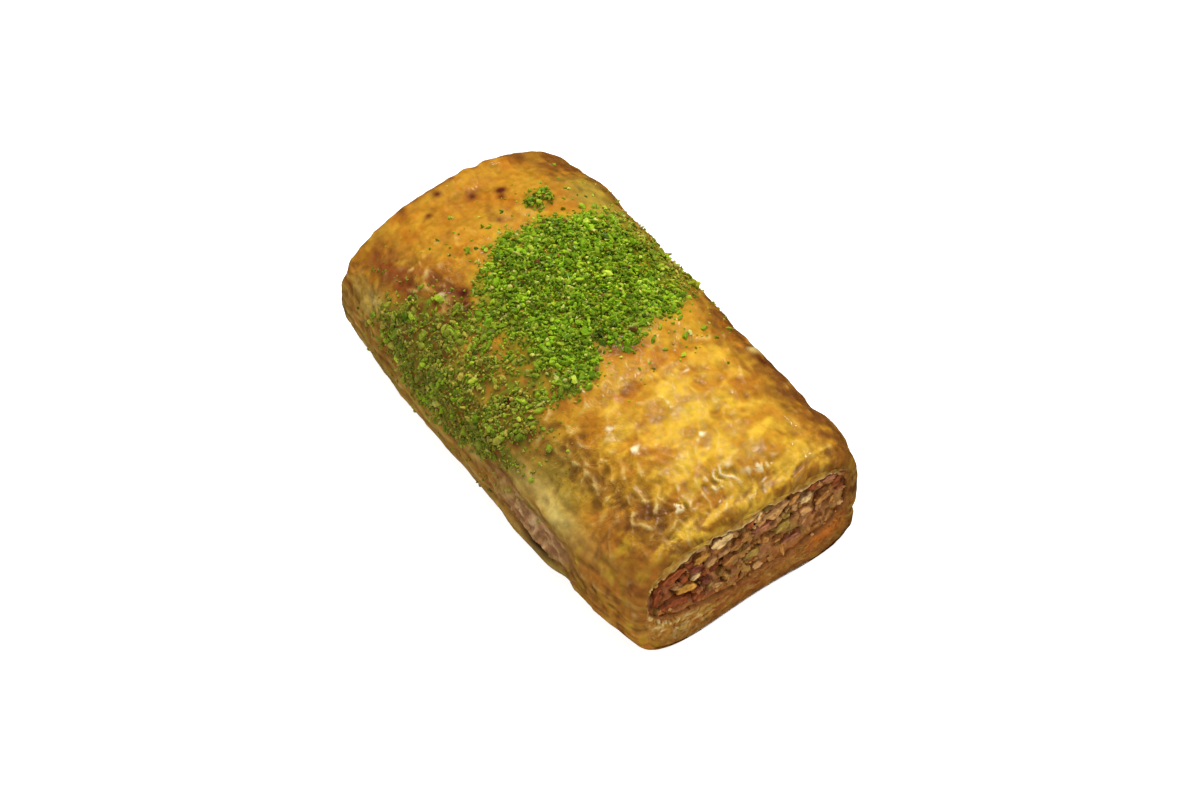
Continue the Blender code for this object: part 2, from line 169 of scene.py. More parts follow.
# Syrup glints, raised as pleats in the relief and given a painted cream highlight: each is (round, along,
# half round, half along)
GLINTS = ((0.9, -25.2, 2.4, 1.3), (-3.4, -26.4, 1.8, 0.8), (6.6, -13.2, 1.1, 0.9), (-0.6, -19.6, 1, 0.7),
          (6.4, -17, 0.9, 0.6), (-4.6, -11, 1, 0.8), (10.6, 14.2, 0.6, 0.4), (7, -25.6, 1, 0.8))


def linear(colour):
    """An sRGB colour of 0 to 255 as linear light of 0 to 1."""
    share = np.asarray(colour, float) / 255
    return np.where(share <= 0.04045, share / 12.92, ((share + 0.055) / 1.055) ** 2.4)


def step(share):
    share = np.clip(share, 0.0, 1.0)
    return share * share * (3 - 2 * share)


def bump_at(value, centre, half_width):
    return np.exp(-(((value - centre) / half_width) ** 2))


def spot(around, along, at_round, at_along, half_round, half_along):
    """A soft round mask on the crust: 1 at its middle and about a third at its half sizes."""
    return np.exp(-(((around - at_round) / half_round) ** 2) - ((along - at_along) / half_along) ** 2)


def blend(colours, other, amount):
    amount = np.clip(amount, 0, 1)[..., None]
    return colours * (1 - amount) + linear(other) * amount


def painted(ground, shape, coats):
    """A ground colour under coats of others: each coat is (colour, amount)."""
    colours = np.broadcast_to(linear(ground), (*shape, 3))
    for other, amount in coats:
        colours = blend(colours, other, amount)
    return colours


def on_top(around, y, start, ramp, reach, fade):
    """1 on the top, from start towards the front cut and this far to both sides, and 0 elsewhere."""
    return step((start - y) / ramp) * step((reach - np.abs(around)) / fade)


def by_cut(around, y):
    """1 on the lip over the front cut and 0 elsewhere."""
    return on_top(around, y, -26.8, 1.6, 14.5, 3)


def toward_end(out, towards):
    """Moves of this much along Y, out of the cut end."""
    return stacked(0, towards * out, 0)


def stacked(*axes):
    """Points from their coordinates, stretched to one shape."""
    return np.stack(np.broadcast_arrays(*axes), -1)


class Grain:
    """Smooth seeded gradient noise over arrays of points, one cell to a unit, from about -1 to 1."""

    def __init__(self, seed):
        draw = np.random.default_rng(seed)
        self.table = np.tile(draw.permutation(256), 2)
        slopes = draw.normal(size=(256, 3))
        self.slopes = slopes / np.linalg.norm(slopes, axis=1, keepdims=True)

    def at(self, *axes):
        axes = np.broadcast_arrays(*axes, *([np.zeros(1)] * (3 - len(axes))))
        points = np.stack([np.asarray(axis, float) for axis in axes], -1)
        cell = np.floor(points).astype(int)
        inside = points - cell
        ease = inside**3 * (inside * (inside * 6 - 15) + 10)
        total = np.zeros(points.shape[:-1])
        for corner in np.ndindex(2, 2, 2):
            place = (cell + corner) & 255
            index = self.table[self.table[self.table[place[..., 0]] + place[..., 1]] + place[..., 2]]
            weight = np.prod(np.where(corner, ease, 1 - ease), -1)
            total += weight * (self.slopes[index] * (inside - corner)).sum(-1)
        return total * 1.6

    def rough(self, octaves, *axes):
        """Several octaves of the noise, each half as large and twice as fine."""
        return sum(self.at(*[axis * 2**k + 17.3 * k for axis in axes]) / 2**k for k in range(octaves))


def plain_noise(points):
    """The solids' own noise, at each point."""
    flat = np.asarray(points, float).reshape(-1, 3)
    values = np.array([noise.noise(Vector(point)) for point in flat])
    return values.reshape(np.shape(points)[:-1])


def end_pulls(y):
    return 1 - step((y + LENGTH / 2) / FRONT["reach"]), 1 - step((LENGTH / 2 - y) / BACK["reach"])


def blended(y, middle, key):
    front, back = end_pulls(y)
    return middle + front * (FRONT[key] - middle) + back * (BACK[key] - middle)


def middle_x(y):
    front, back = end_pulls(y)
    return front * FRONT["shift"] + back * BACK["shift"]


def radius(ray, half_width, up, down, power_up, power_down):
    across, rise = np.abs(np.cos(ray)), np.abs(np.sin(ray))
    power = np.where(np.sin(ray) >= 0, power_up, power_down)
    height = np.where(np.sin(ray) >= 0, up, down)
    return ((across / half_width) ** power + (rise / height) ** power) ** (-1 / power)


def sheared(x, y, z):
    front, back = end_pulls(y)
    bow = np.abs(x / (WIDTH / 2)) ** BOW_POWER
    slant = sum(pull * (end["skew"] * x + end["lean"] * z + end["bow"] * bow)
                for pull, end in ((front, FRONT), (back, BACK)))
    tuck = front * TUCK * step(1 - z / TUCK_TOP) * bump_at(x, TUCK_MIDDLE, TUCK_HALF)
    return stacked(x, y + slant + tuck, z)


def section(y):
    """The outer section at y: its x, its z and the distance round, from the top line."""
    height = blended(y, HEIGHT, "height")
    from_end = LENGTH / 2 - abs(y)
    inset = 0.0
    if from_end < EDGE_ROUND:
        inset = EDGE_ROUND - math.sqrt(EDGE_ROUND**2 - (EDGE_ROUND - from_end) ** 2)
    widest = WIDEST_SHARE * height
    reach = radius(RAYS, WIDTH / 2 * blended(y, 1.0, "width") - inset, height - widest - inset,
                   widest + UNDERSIDE_TRIM - inset / 2, blended(y, TOP_POWER, "power"), BOTTOM_POWER)
    x = middle_x(y) + reach * np.cos(RAYS)
    z = np.maximum(widest + reach * np.sin(RAYS), 0.0)
    return x, z, np.concatenate(([0.0], np.cumsum(np.hypot(np.diff(x), np.diff(z)))))


GIRTH = float(section(0.0)[2][-1])


def smooth_crust(around, y):
    """Points of the crust without relief, and their outward directions, at these distances round."""
    x, z, way = section(y)
    at = (around / GIRTH % 1.0) * way[-1]
    nudge = 0.35
    ahead, behind = (at + nudge) % way[-1], (at - nudge) % way[-1]
    along_x = np.interp(ahead, way, x) - np.interp(behind, way, x)
    along_z = np.interp(ahead, way, z) - np.interp(behind, way, z)
    size = np.hypot(along_x, along_z)
    outward = stacked(along_z / size, 0, -along_x / size)
    return sheared(np.interp(at, way, x), y, np.interp(at, way, z)), outward


def in_patch(around, y):
    """Depth in the nearest pistachio patch: 1 at its middle, 0 at its rim and below 0 outside."""
    depth = np.max([1 - np.hypot((y - at) / half, (around - middle) / span)
                    for at, middle, half, span in PATCHES], axis=0)
    return depth + PATCH_RIM * plain_noise(stacked(around / 3, y / 3, 0))


def fold_wander(y):
    """How far the lengthwise folds wander round the roll at this y."""
    ys = np.atleast_1d(y)
    return FOLD_WANDER * plain_noise(stacked(0, ys / 9, 3)).reshape(np.shape(y))


def main_relief(around, y, points):
    """The relief that the part's solids have too."""
    wander = fold_wander(y)
    upper = step((points[..., 2] - 0.35 * HEIGHT) / (0.4 * HEIGHT))
    out = np.zeros(points.shape[:-1])
    for at, half, depth, start, end in FOLDS:
        span = step((y - start) / FOLD_RAMP) * step((end - y) / FOLD_RAMP)
        out += span * depth * bump_at(around, at + wander, half)
    for at, slope, depth in CREASES:
        out -= upper * depth * bump_at(y, at + slope * points[..., 0], CREASE_WIDTH)
    out += upper * BED_RISE * step(3 * in_patch(around, y))
    out += step(points[..., 2] / (0.4 * HEIGHT)) * SWELL * plain_noise(points / SWELL_SCALE)
    return out


def glinting(around, y):
    """How strongly the syrup glints here, from 0 to 1."""
    return np.clip(sum(spot(around, y, *place) for place in GLINTS), 0, 1)


def curls(around, y):
    """Thin curling ridges of blistered filo, 1 on a ridge and 0 between them."""
    swirl, ridge = Grain(6), Grain(7)
    bent_round = around / 1.9 + 0.9 * swirl.at(around / 2.4, y / 2.4, 0.5)
    bent_along = y / 2.3 + 0.9 * swirl.at(around / 2.4, y / 2.4, 9.5)
    return np.exp(-((ridge.at(bent_round, bent_along, 0.5) / 0.22) ** 2))


def torn_layers(around, y):
    """Ragged edges of torn sheets that run along the roll, 1 on an edge and 0 between them."""
    swirl, ridge = Grain(8), Grain(9)
    bent = around / 0.95 + 1.1 * swirl.rough(2, around / 1.5, y / 1.8, 0.5)
    return np.exp(-((ridge.at(bent, y / 2.4, 0.5) / 0.13) ** 2))


def skin_relief(around, y, points):
    """Wrinkles, blisters and torn sheets of the baked skin, finer than the solids have."""
    lumps, wrinkles, tears, crackle = Grain(1), Grain(2), Grain(3), Grain(4)
    x, z = points[..., 0], points[..., 2]
    above = step((z - 1.2) / 3)
    front = on_top(around + 1, y, -18, 6, 14, 5)
    shoulder = np.clip(spot(around, y, 11.5, -18, 3.8, 11) + spot(around, y, 11.5, 14, 3.4, 8), 0, 1)
    glazed = on_top(around, y, -4, 4, 14, 4)
    off = np.abs(around)
    side = step((off - 13) / 4)
    bend = 0.8 * lumps.at(around / 5 + 9, y / 5, 0.3)
    out = 0.10 * lumps.rough(3, x / 4.2, y / 4.2, z / 4.2)
    crinkle = (1 - np.abs(wrinkles.at(around / 2.1 + bend, (y + 0.5 * around) / 3.4, 3.3))) ** 3
    out += (0.05 + 0.09 * glazed + 0.12 * shoulder + 0.07 * side) * (crinkle - 0.4)
    pleats = 1 - 2 * np.abs(wrinkles.at(around / 1.15 + bend, y / 4.5, 1.7))
    zigzag = around / 1.15 + bend + 0.55 * lumps.at(around / 1.3, y / 1.1, 5.5)
    broken = 1 - 2 * np.abs(wrinkles.at(zigzag, y / 2.4, 1.7))
    out += 0.06 * front * pleats + 0.21 * glinting(around, y) * broken
    ripples = 1 - 2 * np.abs(wrinkles.at(around / 6.5, (y - 0.3 * around) / 1.8 + bend, 5.1))
    out += glazed * (1 - 0.6 * front) * 0.06 * ripples
    out += shoulder * 0.20 * tears.rough(3, around / 2.1, y / 2.6, 0.5)
    sheet = tears.rough(2, around / 5.5 + 3, y / 8.0, 2.2)
    out += 0.12 * np.tanh(8 * sheet) * (0.6 + 0.4 * shoulder)
    layers = wrinkles.rough(3, around / 2.0, (y - 0.5 * around) / 4.0, 8.2)
    out += side * 0.10 * layers
    curled = shoulder + 0.7 * front * step((around - 1) / 4)
    out += 0.16 * np.clip(curled, 0, 1) * (curls(around, y) - 0.35)
    out += 0.26 * spot(around, y, 23.0, -11.5, 3.2, 8) * (torn_layers(around, y) - 0.3)
    out += 0.45 * spot(around, y, *EDGE_BLISTER)
    grooves = 1 - 2 * np.abs(wrinkles.at(around / 1.3 + bend, y / 9.0, 6.6))
    fibres = wrinkles.rough(2, (around + 0.1 * y) / 0.75, y / 3.2, 7.7)
    out += step((off - 15) / 4) * (0.09 * grooves + 0.06 * fibres)
    out += 0.16 * by_cut(around, y) * crackle.rough(3, around / 2.2, y + 0.1 * around, 4.4)
    out += 0.03 * crackle.rough(2, x / 0.85, y / 0.85, z / 0.85)
    return out * above


def skin_point_rows(ys, around):
    """The skin's points and its fine relief for each y and each distance round."""
    rows, outs = [], []
    for y in ys:
        points, outward = smooth_crust(around, y)
        rows.append(points)
        outs.append(outward)
    points, outward = np.array(rows), np.array(outs)
    y_grid, round_grid = np.meshgrid(ys, around, indexing="ij")
    from_end = LENGTH / 2 - np.abs(y_grid)
    fade = 0.45 + 0.55 * step(from_end / (2 * EDGE_ROUND))
    fine = skin_relief(round_grid, y_grid, points)
    torn = Grain(5).rough(2, round_grid / 1.9, np.sign(y_grid) * 2.0, 0.5) * np.exp(-from_end / 0.9)
    rise = (main_relief(round_grid, y_grid, points) + fine) * fade
    rise = np.where(points[..., 2] <= 0, 0.0, rise)
    points = points + outward * rise[..., None]
    points[..., 2] = np.maximum(points[..., 2], 0.0)
    points[..., 1] += TORN_EDGE * torn * np.sign(y_grid) * step(points[..., 2] / 3)
    return points, outward, fine


def columns():
    """Distances round at which the skin has a column: close on its top and sides, wider underneath."""
    even = np.linspace(-1, 1, SKIN_TOP_COLUMNS)
    top = SKIN_TOP_REACH * (even - SKIN_CROWDING * np.sin(math.pi * even) / math.pi)
    under = np.linspace(SKIN_TOP_REACH, GIRTH - SKIN_TOP_REACH, SKIN_UNDER_COLUMNS)[1:-1]
    return np.concatenate((top, under))


def signed(around):
    around = np.asarray(around) % GIRTH
    return np.where(around > GIRTH / 2, around - GIRTH, around)


def skin_rows():
    """Distances along Y at which the skin has a row, from back to front."""
    edge = LENGTH / 2 - np.array((0.0, 0.08, 0.2, 0.36, 0.56, 0.78))
    even = np.linspace(0, 1, SKIN_ROWS - 2 * len(edge))
    crowded = even + FRONT_CROWDING * even * (1 - even)
    inner = (LENGTH / 2 - EDGE_ROUND) * (1 - 2 * crowded)
    return np.concatenate((edge, inner, -edge[::-1]))


def quads(rows, row_length, wrap):
    """Corner numbers of the quads between rows of points that follow each other."""
    reach = row_length if wrap else row_length - 1
    row, column = np.meshgrid(np.arange(rows - 1), np.arange(reach), indexing="ij")
    following = (column + 1) % row_length
    corners = (row * row_length + column, row * row_length + following,
               (row + 1) * row_length + following, (row + 1) * row_length + column)
    return np.stack(corners, -1).reshape(-1, 4)


def placed(name, data):
    """A new object of the scene."""
    made = bpy.data.objects.new(name, data)
    bpy.context.scene.collection.objects.link(made)
    return made


def make_mesh(name, points, faces, colours, material, smooth=True, crisp=None):
    """A piece of the root body, with its colours and how crinkled it is kept at its points."""
    mesh = bpy.data.meshes.new(name)
    points = np.asarray(points, float).reshape(-1, 3) * MM
    mesh.from_pydata(points.tolist(), [], np.asarray(faces).tolist())
    tint = mesh.color_attributes.new("tint", "FLOAT_COLOR", "POINT")
    full = np.ones((len(points), 4), np.float32)
    full[:, :3] = np.asarray(colours, float).reshape(-1, 3)
    tint.data.foreach_set("color", full.ravel())
    if crisp is not None:
        crinkled = mesh.attributes.new("crisp", "FLOAT", "POINT")
        crinkled.data.foreach_set("value", np.asarray(crisp, np.float32).ravel())
    mesh.polygons.foreach_set("use_smooth", [smooth] * len(mesh.polygons))
    mesh.materials.append(material)
    mesh.update()
    piece = placed(name, mesh)
    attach(piece, "root")
    return piece


def soften(field, reach):
    """The field averaged over neighbours along both of its axes."""
    for axis in (0, 1):
        kept = np.moveaxis(field, axis, 0)
        padded = np.concatenate((kept[:1].repeat(reach, 0), kept, kept[-1:].repeat(reach, 0)))
        total = np.cumsum(np.concatenate((np.zeros_like(padded[:1]), padded)), 0)
        kept = (total[2 * reach + 1:] - total[:-2 * reach - 1]) / (2 * reach + 1)
        field = np.moveaxis(kept, 0, axis)
    return field


def toned(places, around, y):
    """The depth that these toned places give here."""
    return sum(depth * spot(around, y, *place) for *place, depth in places)


def skin_colours(around, y, points, fine):
    """The baked skin's colours: gold and amber glaze, browned shoulders, olive sides and green dust, with
    painted highlights and shade on its wrinkles, glints, lip and low fold.
    """
    tone, streak, mottle = Grain(21), Grain(22), Grain(23)
    x, z = points[..., 0], points[..., 2]
    wide = tone.rough(3, x / 5.5, y / 5.5, z / 5.5)
    drawn_out = step((np.abs(around) - 14) / 4)
    small = (1 - drawn_out) * mottle.rough(3, x / 1.7, y / 1.7, z / 1.7)
    small = small + drawn_out * mottle.rough(3, around / 1.6, y / 5, 2.5)
    lines = streak.rough(2, (around - 0.6 * y) / 6, (y + 0.4 * around) / 1.1, 0.5)
    calm = 1 - 0.8 * spot(around, y, -2, -16, 9, 10)
    golden = on_top(around + 1, y, -7, 4, 12, 4)
    blotch = tone.rough(3, x / 3.6, y / 2.6, z / 3.6 + 11) + 0.35 * lines
    left, right = step((around - 8.5) / 8), step((-around - 9) / 5)
    front_wall = step((-16.5 - y) / 6) * step((around - 10) / 4)
    fibres = streak.rough(3, (around + 0.1 * y) / 0.75, y / 3.2, 4.5)
    streaks = mottle.rough(2, around / 3, y, 3.5)
    over_edge = step((-around - 8) / 4) * step((around + 17) / 4)
    relief = fine - soften(fine, 5)
    lip = by_cut(around, y)
    frayed = mottle.rough(3, around / 2.4 + 1.5 * blotch, (y + 0.2 * around) / 0.9, 12.5)
    pinkish = spot(around, y, 22.4, -12.5, 1.9, 6)
    layers = torn_layers(around, y)
    cracks = 1.05 - 1.6 * layers - 1.8 * np.abs(mottle.rough(3, around, y / 1.8, 6))
    slot = fold_wander(y) + 26.3 + 0.5 * small
    dusty = step(in_patch(around, y) * 2.6 + 0.30) * (1 - 0.75 * spot(around, y, *STRAY_CLUSTER))
    sparse = step((around - 6) / 6)
    speckled = mottle.rough(3, x / 0.8, y / 0.8, z / 0.8)
    specks = [(SPECK, depth * 1.3 * spot(around, y, at_round, at_along, size, size))
              for at_round, at_along, size, depth in SPECKS]
    return painted(GOLD, around.shape, (
        (AMBER, 0.30 + wide + 0.4 * lines),
        (BROWN, (0.9 * tone.rough(3, x / 3 + 7, y / 3, z / 3) - 0.18) * calm),
        (YELLOW, (0.75 + 0.9 * small) * toned(BRIGHT, around, y)),
        (AMBER, (0.85 + small) * toned(ORANGED, around, y)),
        (YELLOW, step((small + 0.3 * lines - 0.12) * 1.9) * 0.45),
        (PALE_GOLD, golden * np.clip(0.9 * blotch + 0.06, 0, 0.45)),
        (AMBER, golden * np.clip(0.02 - blotch, 0, 0.5)),
        # Sides: tan to olive on the left, browner low down and on the right
        (OLIVE, left * (1 - 0.85 * front_wall) * (0.45 + 0.8 * tone.at(around / 3, y / 6, 4.4))),
        (SIDE_TAN, step((around - 17) / 4) * (1 - 0.7 * front_wall) * (0.5 + 0.5 * small)),
        (BROWN, drawn_out * np.clip(1.7 * fibres - 0.12, 0, 0.4)),
        (PALE, drawn_out * np.clip(-1.7 * fibres - 0.15, 0, 0.35)),
        (WALL, front_wall * (0.7 + 0.7 * small)),
        (BROWN, front_wall * (1.1 * streaks - 0.1)),
        (YELLOW, front_wall * (-1.2 * streaks - 0.15)),
        (BROWN, right * (0.55 + 0.7 * small)),
        (BROWN, toned(BROWNED, around, y) * (0.85 + 1.1 * small)),
        (RUST, toned(RUSTED, around, y) * (0.8 + 0.9 * small)),
        (OLIVE, 0.7 * over_edge * step((y - 9) / 4) * step((24 - y) / 6)),
        # Painted highlight along the ridge of the fold low on the left side, where it faces up
        (PALE, 0.8 * spot(around, y, 17.3, -14, 1.3, 7) * (0.9 + 0.6 * small)),
        (PALE, 0.7 * spot(around, y, 17, 21.5, 0.6, 2.4)),
        # Browner low on the sides: partly painted shade, partly syrup-soaked baking
        (BROWN, step((np.abs(around) - 27) / 4) * (0.6 + 0.4 * small)),
        # Painted shade in the hollows of the wrinkles, and lighter crests that are partly painted
        # highlight and partly pale dry filo
        (UMBER, np.clip(-relief * 5.5 - 0.05, 0, 0.6)),
        (FLECK, np.clip(relief * 5 - 0.25, 0, 0.6) * (1 - 0.35 * left)),
        # Painted highlight: cream on the crests where the syrup glints
        (CREAM_HIGHLIGHT, 0.8 * glinting(around, y) * np.clip(relief * 12 - 0.25, 0, 1)),
        # Painted cream highlights, and browner patches, from noise along the lip over the front cut
        (PALE_GOLD, lip * np.clip(0.05 + 1.7 * frayed, 0, 0.55)),
        (BROWN, lip * np.clip(-0.18 - 1.8 * frayed, 0, 0.42)),
        # The deep fold low on the left side: pink tone, painted shade in cracks, slot and band, painted
        # highlight on torn crests
        (FOLD_PINK, 0.9 * pinkish * (0.9 + 1.2 * small)),
        (FOLD_CRACK_SHADE, 0.7 * pinkish * np.clip(cracks, 0, 1)),
        (FOLD_CREST_HIGHLIGHT, 0.8 * pinkish * layers * (0.7 + 1.6 * small)),
        (FOLD_SLOT_SHADE, 1.05 * spot(around, y, slot, -12.3, 0.8, 3.2)),
        (FOLD_SHADE, 0.8 * spot(around, y, 20, -11, 0.5, 5) * (0.8 + small)),
        # Green dust between the crumbs
        (BROWN, dusty * sparse * (0.55 + 0.9 * small)),
        (RUST, dusty * sparse * (1.2 * tone.rough(2, around / 2.4, y / 2.4, 8.5))),
        (MOSS, dusty * (0.8 + 0.6 * small) * (1 - sparse * (0.55 - 1.4 * speckled))),
        *specks))


class Graph:
    """A material's node tree, with short ways to add nodes and give their inputs."""

    def __init__(self, material):
        material.use_nodes = True
        self.tree = material.node_tree

    def fill(self, node, inputs):
        """Give the node these inputs: each is a value or another node's output."""
        for socket, value in inputs.items():
            if isinstance(value, bpy.types.NodeSocket):
                self.tree.links.new(value, node.inputs[socket])
            else:
                node.inputs[socket].default_value = value
        return node

    def add(self, kind, output, inputs, **settings):
        """The named output of a new node with these inputs and settings."""
        node = self.tree.nodes.new(kind)
        for setting, value in settings.items():
            setattr(node, setting, value)
        return self.fill(node, inputs).outputs[output]

    def noise(self, place, scale, detail, distortion=0.0):
        """Noise whose cells are this many millimetres wide."""
        return self.add("ShaderNodeTexNoise", "Fac", {
            "Vector": place, "Scale": 1000 / scale, "Detail": detail, "Distortion": distortion})

    def remap(self, value, start, end, low, high, ease="LINEAR"):
        """The value with start to end taken to low to high."""
        return self.add("ShaderNodeMapRange", "Result", {
            "Value": value, "From Min": start, "From Max": end, "To Min": low, "To Max": high},
            interpolation_type=ease)

    def maths(self, operation, *inputs):
        return self.add("ShaderNodeMath", "Value", dict(enumerate(inputs)), operation=operation)


def crinkle_lines(graph, place, scale, width):
    """Thin wandering ridges, 1 on a ridge and 0 away from it, and a wider band round each."""
    apart = graph.maths("SUBTRACT", graph.noise(place, scale, 3, distortion=0.5), 0.5)
    apart = graph.maths("ABSOLUTE", apart)
    return [graph.remap(apart, 0, reach, 1, 0, ease="SMOOTHSTEP") for reach in (width, 3.5 * width)]





def node_material(name, roughness, coat, bump_scale, bump_depth, mottle_scale, mottle, soft, crinkle=0):
    """A material whose colour is the piece's own tint with fine variation, under a film of syrup."""
    material = bpy.data.materials.new(name)
    graph = Graph(material)
    tint = graph.add("ShaderNodeAttribute", "Color", {}, attribute_name="tint")
    place = graph.add("ShaderNodeTexCoord", "Object", {})
    mottled = graph.noise(place, mottle_scale, 4)
    brightness = graph.remap(mottled, 0.3, 0.7, 1 - mottle, 1 + mottle)
    gloss = graph.remap(mottled, 0.35, 0.65, roughness * 0.7, roughness * 1.3)
    height = graph.noise(place, bump_scale, 3)
    if crinkle:
        crisp = graph.add("ShaderNodeAttribute", "Fac", {}, attribute_name="crisp")
        ridge, halo = crinkle_lines(graph, place, CRINKLE_SCALE, CRINKLE_WIDTH)
        # Each crinkle ridge is raised by the bump and given a painted highlight, and the band round it
        # painted shade, as strong as crisp and crinkle say
        shape = graph.maths("MULTIPLY_ADD", ridge, 1.4, graph.maths("MULTIPLY_ADD", halo, -1, 0))
        shape = graph.maths("MULTIPLY_ADD", shape, crisp, 0)
        brightness = graph.maths("MULTIPLY_ADD", shape, crinkle, brightness)
        height = graph.maths("MULTIPLY_ADD", shape, CRINKLE_HEIGHT, height)
    colour = graph.add("ShaderNodeVectorMath", "Vector", {0: tint, "Scale": brightness}, operation="SCALE")
    normal = graph.add("ShaderNodeBump", "Normal", {
        "Strength": 1, "Distance": bump_depth * MM, "Height": height})
    graph.fill(material.node_tree.nodes["Principled BSDF"], {
        "Base Color": colour, "Roughness": gloss, "Normal": normal, "Coat Normal": normal,
        "Coat Weight": coat, "Coat Roughness": 0.08, "Coat IOR": 1.45, "Specular IOR Level": 0.2,
        "Subsurface Weight": soft, "Subsurface Radius": (1, 0.45, 0.15), "Subsurface Scale": 0.8 * MM})
    return material


class Skin:
    """The skin's grid, kept so that other pieces can find where it lies."""

    def __init__(self):
        self.around = columns()
        self.ys = skin_rows()
        self.points, self.outward, self.fine = skin_point_rows(self.ys, self.around)
        self.tones = None

    def end_tones(self, towards, around):
        """The skin's colours along the rim of a cut end."""
        row = self.tones[-6 if towards < 0 else 5]
        order = np.argsort(self.around)
        return np.stack([np.interp(around, self.around[order], channel, period=GIRTH)
                         for channel in row[order].T], -1)

    def at(self, around, y):
        """Points on the skin's top and the outward directions there."""
        last = SKIN_TOP_COLUMNS - 1
        column = np.interp(around, self.around[:last + 1], np.arange(last + 1))
        row = np.interp(-np.asarray(y), -self.ys, np.arange(len(self.ys)))
        c, r = np.minimum(column.astype(int), last - 1), np.minimum(row.astype(int), len(self.ys) - 2)
        u, v = (column - c)[..., None], (row - r)[..., None]
        found = []
        for field in (self.points, self.outward):
            found.append((field[r, c] * (1 - u) + field[r, c + 1] * u) * (1 - v)
                         + (field[r + 1, c] * (1 - u) + field[r + 1, c + 1] * u) * v)
        return found


def crispness(around, y):
    """How crinkled the skin is, in bump and in the painted highlights and shade of the crinkles: most on
    the browned shoulder, by the front cut and down the left side.
    """
    most = sum(share * spot(around, y, *place) for *place, share in CRINKLED)
    most = most + 0.35 * on_top(around, y, -22, 4, 16, 4) + 0.6 * glinting(around, y)
    return np.clip(0.04 + 0.7 * most, 0, 1) * (1 - 0.5 * step(3 * in_patch(around, y)))


def build_skin(skin):
    y_grid, round_grid = np.meshgrid(skin.ys, signed(skin.around), indexing="ij")
    skin.tones = skin_colours(round_grid, y_grid, skin.points, skin.fine)
    faces = quads(len(skin.ys), len(skin.around), wrap=True)
    crisp = crispness(round_grid, y_grid)
    piece = make_mesh("filo_skin", skin.points, faces, skin.tones, skin_material, crisp=crisp)
    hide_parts("pastry")


def cavity_radius(ray, y):
    half = WIDTH / 2 * blended(y, 1.0, "width") - SIDE_WALL
    rise = (blended(y, HEIGHT, "height") - TOP_WALL - BOTTOM_WALL) / 2
    spots = stacked(half * np.cos(ray), y, rise * np.sin(ray)) / WALL_WAVE_SCALE
    power = blended(y, CAVITY_POWER, "cavity_power")
    plain = radius(ray, half, rise, rise, power, power) - blended(y, 0.0, "thicker")
    return plain + WALL_WAVE * (plain_noise(spots) - 0.3)


def cavity_middle(y):
    return middle_x(y), (blended(y, HEIGHT, "height") - TOP_WALL + BOTTOM_WALL) / 2


def cavity_point(ray, y):
    x, z = cavity_middle(y)
    reach = cavity_radius(ray, y)
    return sheared(x + reach * np.cos(ray), y, z + reach * np.sin(ray))


SIDES = {-1: "front", 1: "back"}
SHEET_THICKNESS = 0.55
END_COLUMNS, END_RINGS = 620, 44
# How far the cut's inner rim runs back into the roll
TAIL = 1.6
PASTE_COLUMNS, PASTE_RINGS, PASTE_RECESS = 320, 60, 0.3
NUT_BITS = 190
# Nut pieces are cut off flat where the knife passed: how far each would stand out, and where it is cut
CHUNK_PROUD, CHUNK_CUT, CHUNK_TILT = 0.85, 0.26, 0.07
CHIPS = 40
# The back's nut pieces lie closer to their middle height, because the roll is rounder there
BACK_CROWDING, BACK_NUT_MIDDLE = 0.9, 9.0
# Lower edge of the crust's lip over the front cut: each point is (x, drop from the cavity's own roof)
LIP = ((-14, 0), (-12, 0.5), (-10, 0.9), (-7.5, 0.3), (-5.5, 0.3), (-3.5, 0.9), (-0.6, 1.1), (0.6, 0.5),
       (2.1, 0), (3.2, 0.9), (5, 0.2), (7, 0.9), (9, 0.1), (13, 0.1))
# Crack in the filling under the lip, a groove darkened with painted shade, as points (x, z) across the
# front cut
CRACK = ((-9.5, 14), (-7.6, 13.6), (-5.2, 13.1), (-2.8, 12), (-1.2, 12.5), (-0.2, 14.2), (2, 15.2),
         (4.2, 14.6), (6.4, 14.4), (8.6, 15), (11.6, 14))
CRACK_WIDTH = 0.45
# Painted shade for the crack, the lip's lower line, hollows of the paste and round nut pieces
CRACK_SHADE = (40, 18, 10)
# Painted highlight along the lip's crest, over painted shade along its lower line
CREST = (244, 208, 134)


def cut_rim(rays, towards):
    """Where the crust meets the filling on a cut end, along these rays from the filling's middle."""
    y = towards * LENGTH / 2
    rim = cavity_point(rays, y)
    x, z = cavity_middle(y)
    wave = Grain(35)
    drop = np.interp(rim[..., 0] * -towards, [x for x, _ in LIP], [drop for _, drop in LIP])
    above = step((rim[..., 2] - z) / 3.0)
    rim[..., 2] -= above * drop + 0.3 * wave.rough(2, rim[..., 0] / 1.1, 3.0 * towards, above)
    low = 1 - above
    rim[..., 2] += low * 0.7 * wave.rough(2, rim[..., 0] / 3.2, rim[..., 2] / 3.2, 5.0 + towards)
    rim[..., 0] += towards * 0.7 * step((rim[..., 0] * towards - 8) / 4)
    return rim


